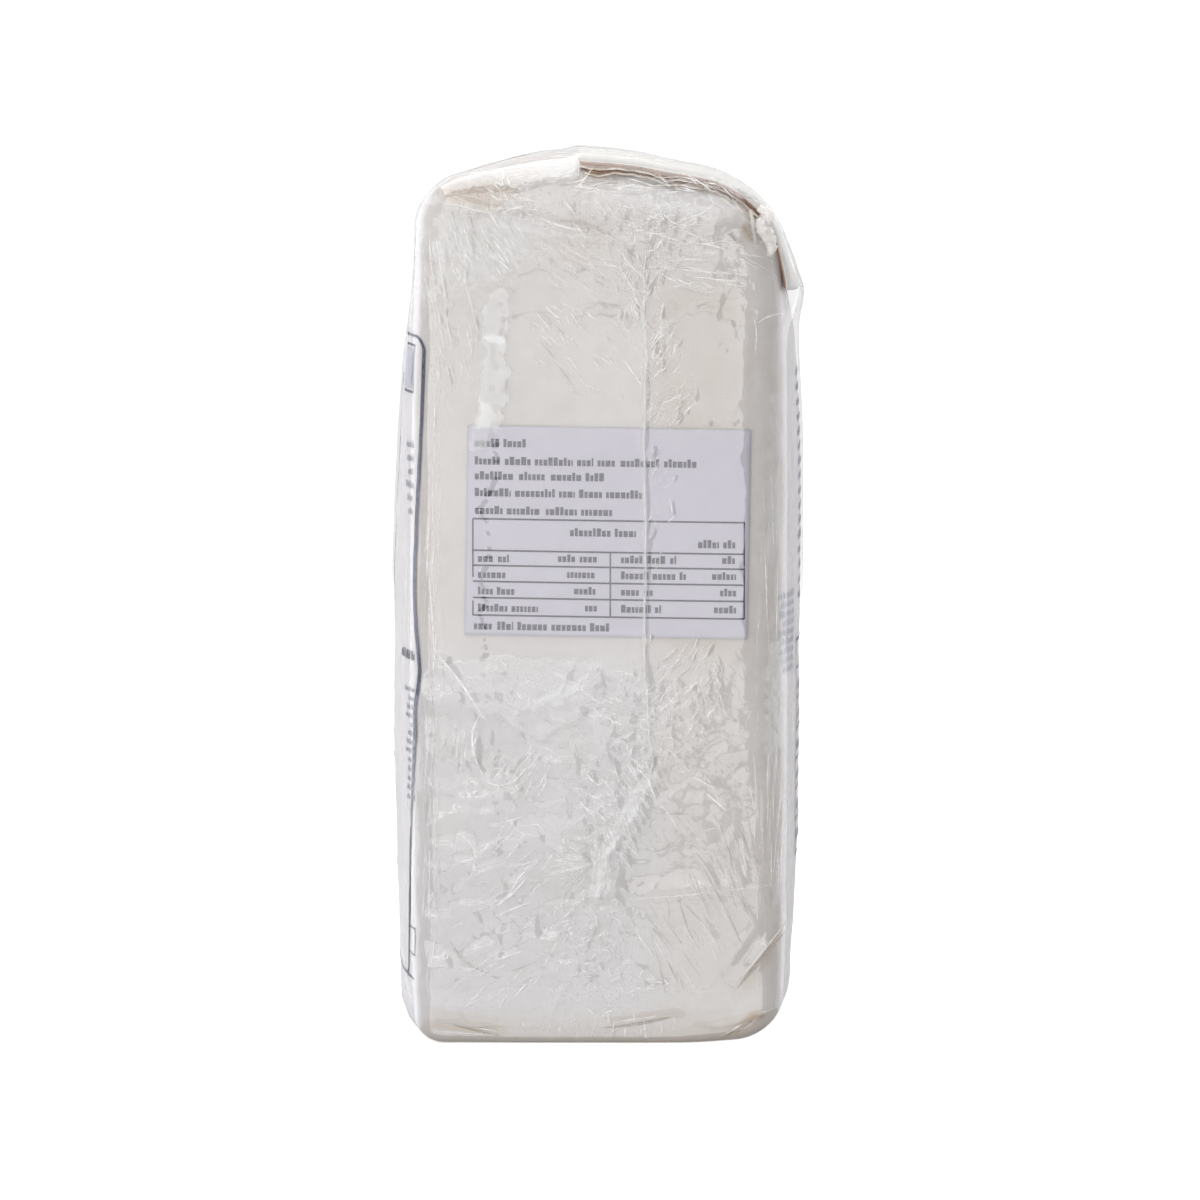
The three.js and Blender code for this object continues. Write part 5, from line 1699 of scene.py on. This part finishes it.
# ------------------------------------------------------------------ gathered film: strands and knobs
def rope(name, path, radius, lump, seed, mat, whiteness, flat=1.0, ns=None, nr=18):
    """A lumpy, twisted strand of gathered film along (x, y, z) points in mm."""
    path = np.asarray(path, float)
    cum = np.concatenate([[0], np.cumsum(np.linalg.norm(np.diff(path, axis=0), axis=1))])
    ns = ns or int(cum[-1] / 0.35) + 8
    s = np.linspace(0, cum[-1], ns)
    c = np.stack([np.interp(s, cum, path[:, i]) for i in range(3)], 1)
    for _ in range(12):
        c[1:-1] = (c[:-2] + 2 * c[1:-1] + c[2:]) / 4
    tan = np.gradient(c, axis=0)
    tan /= np.linalg.norm(tan, axis=1)[:, None]
    ex = np.array([1.0, 0, 0])
    b = np.cross(tan, ex)
    b /= np.linalg.norm(b, axis=1)[:, None]
    a = np.cross(b, tan)
    th = np.linspace(0, 2 * math.pi, nr, endpoint=False)
    rad = radius(s / cum[-1])
    twist = s / 2.2
    P = []
    for k, t_ in enumerate(th):
        w = 1 + lump * np.abs(N1.fbm(np.stack([np.cos(t_ + twist) * 1.6, np.sin(t_ + twist) * 1.6, s / 1.5 + seed], 1), 3)) \
            - 0.35 * lump * np.abs(np.sin(2.5 * (t_ + twist)))
        P.append(c + (a * (math.cos(t_) * flat) + b * math.sin(t_)) * (rad * w)[:, None])
    P = np.stack(P, 1)
    ids_ = np.arange(ns * nr).reshape(ns, nr)
    nx_ = np.roll(ids_, -1, 1)
    f = np.stack([ids_[:-1], nx_[:-1], nx_[1:], ids_[1:]], -1).reshape(-1, 4).tolist()
    pts = np.concatenate([P.reshape(-1, 3), c[:1], c[-1:]])
    m_ = ns * nr
    f += [(m_, int(nx_[0, j]), int(ids_[0, j])) for j in range(nr)]
    f += [(m_ + 1, int(ids_[-1, j]), int(nx_[-1, j])) for j in range(nr)]
    return film_piece(name, pts, f, np.full(len(pts), whiteness), mat)


gather_film = film_material("gathered_film", haze=0.04, rough=0.12, bump_mm=0.12, most=0.06, tint=(0.97, 0.96, 0.95, 1))
knot_film = film_material("knotted_film", haze=0.04, rough=0.14, bump_mm=0.10, most=0.07, tint=(0.95, 0.915, 0.885, 1))


def on_film(px, py, lift=0.9):
    y, z = at(px, py)
    return (face_x(y, z) + lift, y, z)


rope("seam_bead", [on_film(px_ + 0.8 * math.sin(py_ / 9.0) + 0.7 * math.sin(py_ / 3.7), py_, 0.95) for px_, py_ in
                   [(np.interp(t_, [c[1] for c in SEAM_RUN], [c[0] for c in SEAM_RUN]), t_) for t_ in range(236, 771, 6)]],
     lambda u: 0.10 + 0.16 * np.abs(N2(np.stack([u * 70, u * 0, u * 0], 1))), 1.2, 3, gather_film, 0.42)
rope("gather_strand", [on_film(*c, 1.1) for c in ((654, 752), (648, 782), (636, 806), (620, 832), (606, 852), (600, 872), (597, 896))],
     lambda u: 0.22 + 0.40 * np.exp(-(((u - 0.78) / 0.2) ** 2)) + 0.10 * np.abs(N2(np.stack([u * 26, u * 0, u * 0 + 2], 1))), 2.2, 9, gather_film, 0.42, flat=0.4)
knob = []
for (px_, py_), dx in zip(((759, 205), (769, 213), (761, 223), (767, 234), (772, 245), (768, 254)), (0, 0.4, 0.7, 0.7, 0.4, 0)):
    y, z = at(px_, py_)
    knob.append((59.2 + dx, y, z))
rope("film_knob", knob, lambda u: 0.5 + 0.95 * np.sin(math.pi * np.clip(u, 0.03, 0.97)) ** 0.7, 0.8, 21, knot_film, 0.60)
rope("film_knob_tail", [(59.6, *at(750, 208)), (60.2, *at(752, 218)), (60.4, *at(753, 232)), (60.0, *at(758, 246))],
     lambda u: 0.3 + 0.22 * np.sin(math.pi * u), 1.3, 33, knot_film, 0.36)

# ------------------------------------------------------------------ painted highlights and shade along creases: white and dark ribbons
def glint_and_shade_material(name, low_=(0.88, 0.865, 0.855, 1), high_=(0.98, 0.97, 0.96, 1)):
    """A half see-through ribbon along a crease: with the default white colours a painted highlight, partly film pinched
    double; with dark colours painted shade.
    """
    m, nt, out = material(name)
    L = nt.links.new
    tc = node(nt, "ShaderNodeTexCoord")
    nz_ = node(nt, "ShaderNodeTexNoise", inputs={"Scale": 700.0, "Detail": 1.0})
    L(tc.outputs["Object"], nz_.inputs["Vector"])
    body = node(nt, "ShaderNodeBsdfPrincipled", inputs={"Roughness": 0.22})
    r = ramp(nt, [(0.3, low_), (0.6, high_)])
    L(nz_.outputs["Fac"], r.inputs["Fac"])
    L(r.outputs["Color"], body.inputs["Base Color"])
    clear = node(nt, "ShaderNodeBsdfTransparent")
    at_ = node(nt, "ShaderNodeAttribute", attribute_name="milk_and_sheen")
    mr = node(nt, "ShaderNodeMapRange", inputs={"From Min": 0.3, "From Max": 0.6, "To Min": 0.7, "To Max": 1.1})
    L(nz_.outputs["Fac"], mr.inputs["Value"])
    mu = node(nt, "ShaderNodeMath", operation="MULTIPLY", use_clamp=True)
    L(at_.outputs["Fac"], mu.inputs[0])
    L(mr.outputs["Result"], mu.inputs[1])
    mx = node(nt, "ShaderNodeMixShader")
    L(mu.outputs[0], mx.inputs["Fac"])
    L(clear.outputs[0], mx.inputs[1])
    L(body.outputs[0], mx.inputs[2])
    L(mx.outputs[0], out.inputs["Surface"])
    return m


class Outside:
    """Rays onto one side of the film: from beyond +X, -X, +Y or -Y, at (y, z) or (x, z)."""

    def __init__(self, axis, way, beyond):
        self.axis, self.way = axis, way
        keep = film.quads[q[film.quads].mean(1)[:, axis] * way > beyond]
        used_ = np.unique(keep)
        remap_ = np.full(len(q), -1)
        remap_[used_] = np.arange(len(used_))
        self.tree = BVHTree.FromPolygons(p[used_].tolist(), remap_[keep].tolist())

    def hit(self, u, v):
        start = Vector((100.0 * self.way, u, v)) if self.axis == 0 else Vector((u, 100.0 * self.way, v))
        to = Vector((-self.way, 0.0, 0.0)) if self.axis == 0 else Vector((0.0, -self.way, 0.0))
        at_, nrm, _, _ = self.tree.ray_cast(start, to)
        if at_ is None:
            return None, None
        return at_, (nrm if nrm[self.axis] * self.way > 0 else -nrm)


def resample(pts, step=0.7):
    """A smooth run of points along a short path."""
    pts = np.asarray(pts, float)
    if len(pts) == 3:
        c = 2 * pts[1] - (pts[0] + pts[2]) / 2
        t_ = np.linspace(0, 1, 12)[:, None]
        pts = (1 - t_) ** 2 * pts[0] + 2 * t_ * (1 - t_) * c + t_**2 * pts[2]
    cum = np.concatenate([[0], np.cumsum(np.linalg.norm(np.diff(pts, axis=0), axis=1))])
    k = int(np.clip(cum[-1] / step, 3, 40)) + 1
    u = np.linspace(0, cum[-1], k)
    return np.stack([np.interp(u, cum, pts[:, 0]), np.interp(u, cum, pts[:, 1])], 1)


def ribbons(name, sets, mat, lift=0.05, rise=0.06):
    """Painted highlights or painted shade: thin tapering ridges laid on the film along paths in mm: (points, width,
    whiteness) for each side.
    """
    V, F, W = [], [], []
    n_ = 0
    for side_, (pts, width, white_) in [(o, ln) for o, lines in sets for ln in lines]:
        run = []
        for u_, v_ in resample(pts):
            hit, nrm = side_.hit(u_, v_)
            if hit is None or (run and abs(hit[side_.axis] - run[-1][0][side_.axis]) > 1.2):
                break
            run.append((hit, nrm))
        if len(run) < 3:
            continue
        c = np.array([h_[0] for h_ in run])
        nn = np.array([h_[1] for h_ in run])
        c[1:-1] = (c[:-2] + 2 * c[1:-1] + c[2:]) / 4
        nn = nn + nn.mean(0)
        nn /= np.linalg.norm(nn, axis=1)[:, None]
        t_ = np.gradient(c, axis=0)
        sd = np.cross(nn, t_)
        sd /= np.maximum(np.linalg.norm(sd, axis=1), 1e-9)[:, None]
        k = len(c)
        taper = np.sin(np.pi * (np.arange(k) + 0.35) / (k - 0.3)) ** 0.8
        w = (width / 2 * taper)[:, None]
        base = c + nn * lift
        P = np.stack([base - sd * w, base + nn * (rise * taper)[:, None], base + sd * w], 1)
        ids_ = n_ + np.arange(k * 3).reshape(k, 3)
        V.append(P.reshape(-1, 3))
        W.append(np.full(k * 3, white_))
        F.append(np.stack([ids_[:-1, :-1], ids_[:-1, 1:], ids_[1:, 1:], ids_[1:, :-1]], -1).reshape(-1, 4))
        n_ += k * 3
    F = np.concatenate(F)
    print(name, "ribbons", len(V), "triangles", 2 * len(F))
    return film_piece(name, np.concatenate(V), F, np.concatenate(W), mat)


glint_film = glint_and_shade_material("painted_glint_film")
NEAR_END, FAR_END = Outside(0, 1, 30), Outside(0, -1, 30)
# painted highlights: white ribbons along creases on both narrow sides and both wide faces
ribbons("film_painted_glints", [(NEAR_END, LINES), (FAR_END, FAR_LINES), (Outside(1, -1, 20), wide_face_glints(51)),
                         (Outside(1, 1, 20), wide_face_glints(52))], glint_film)
# painted shade: dark ribbons along creases on both narrow sides
shade_film = glint_and_shade_material("shaded_film", (0.36, 0.31, 0.27, 1), (0.47, 0.41, 0.36, 1))
ribbons("film_shaded_creases", [(NEAR_END, DARKS), (FAR_END, FAR_DARKS)], shade_film, 0.03, 0.02)

# ------------------------------------------------------------------ finish
bpy.context.view_layer.update()
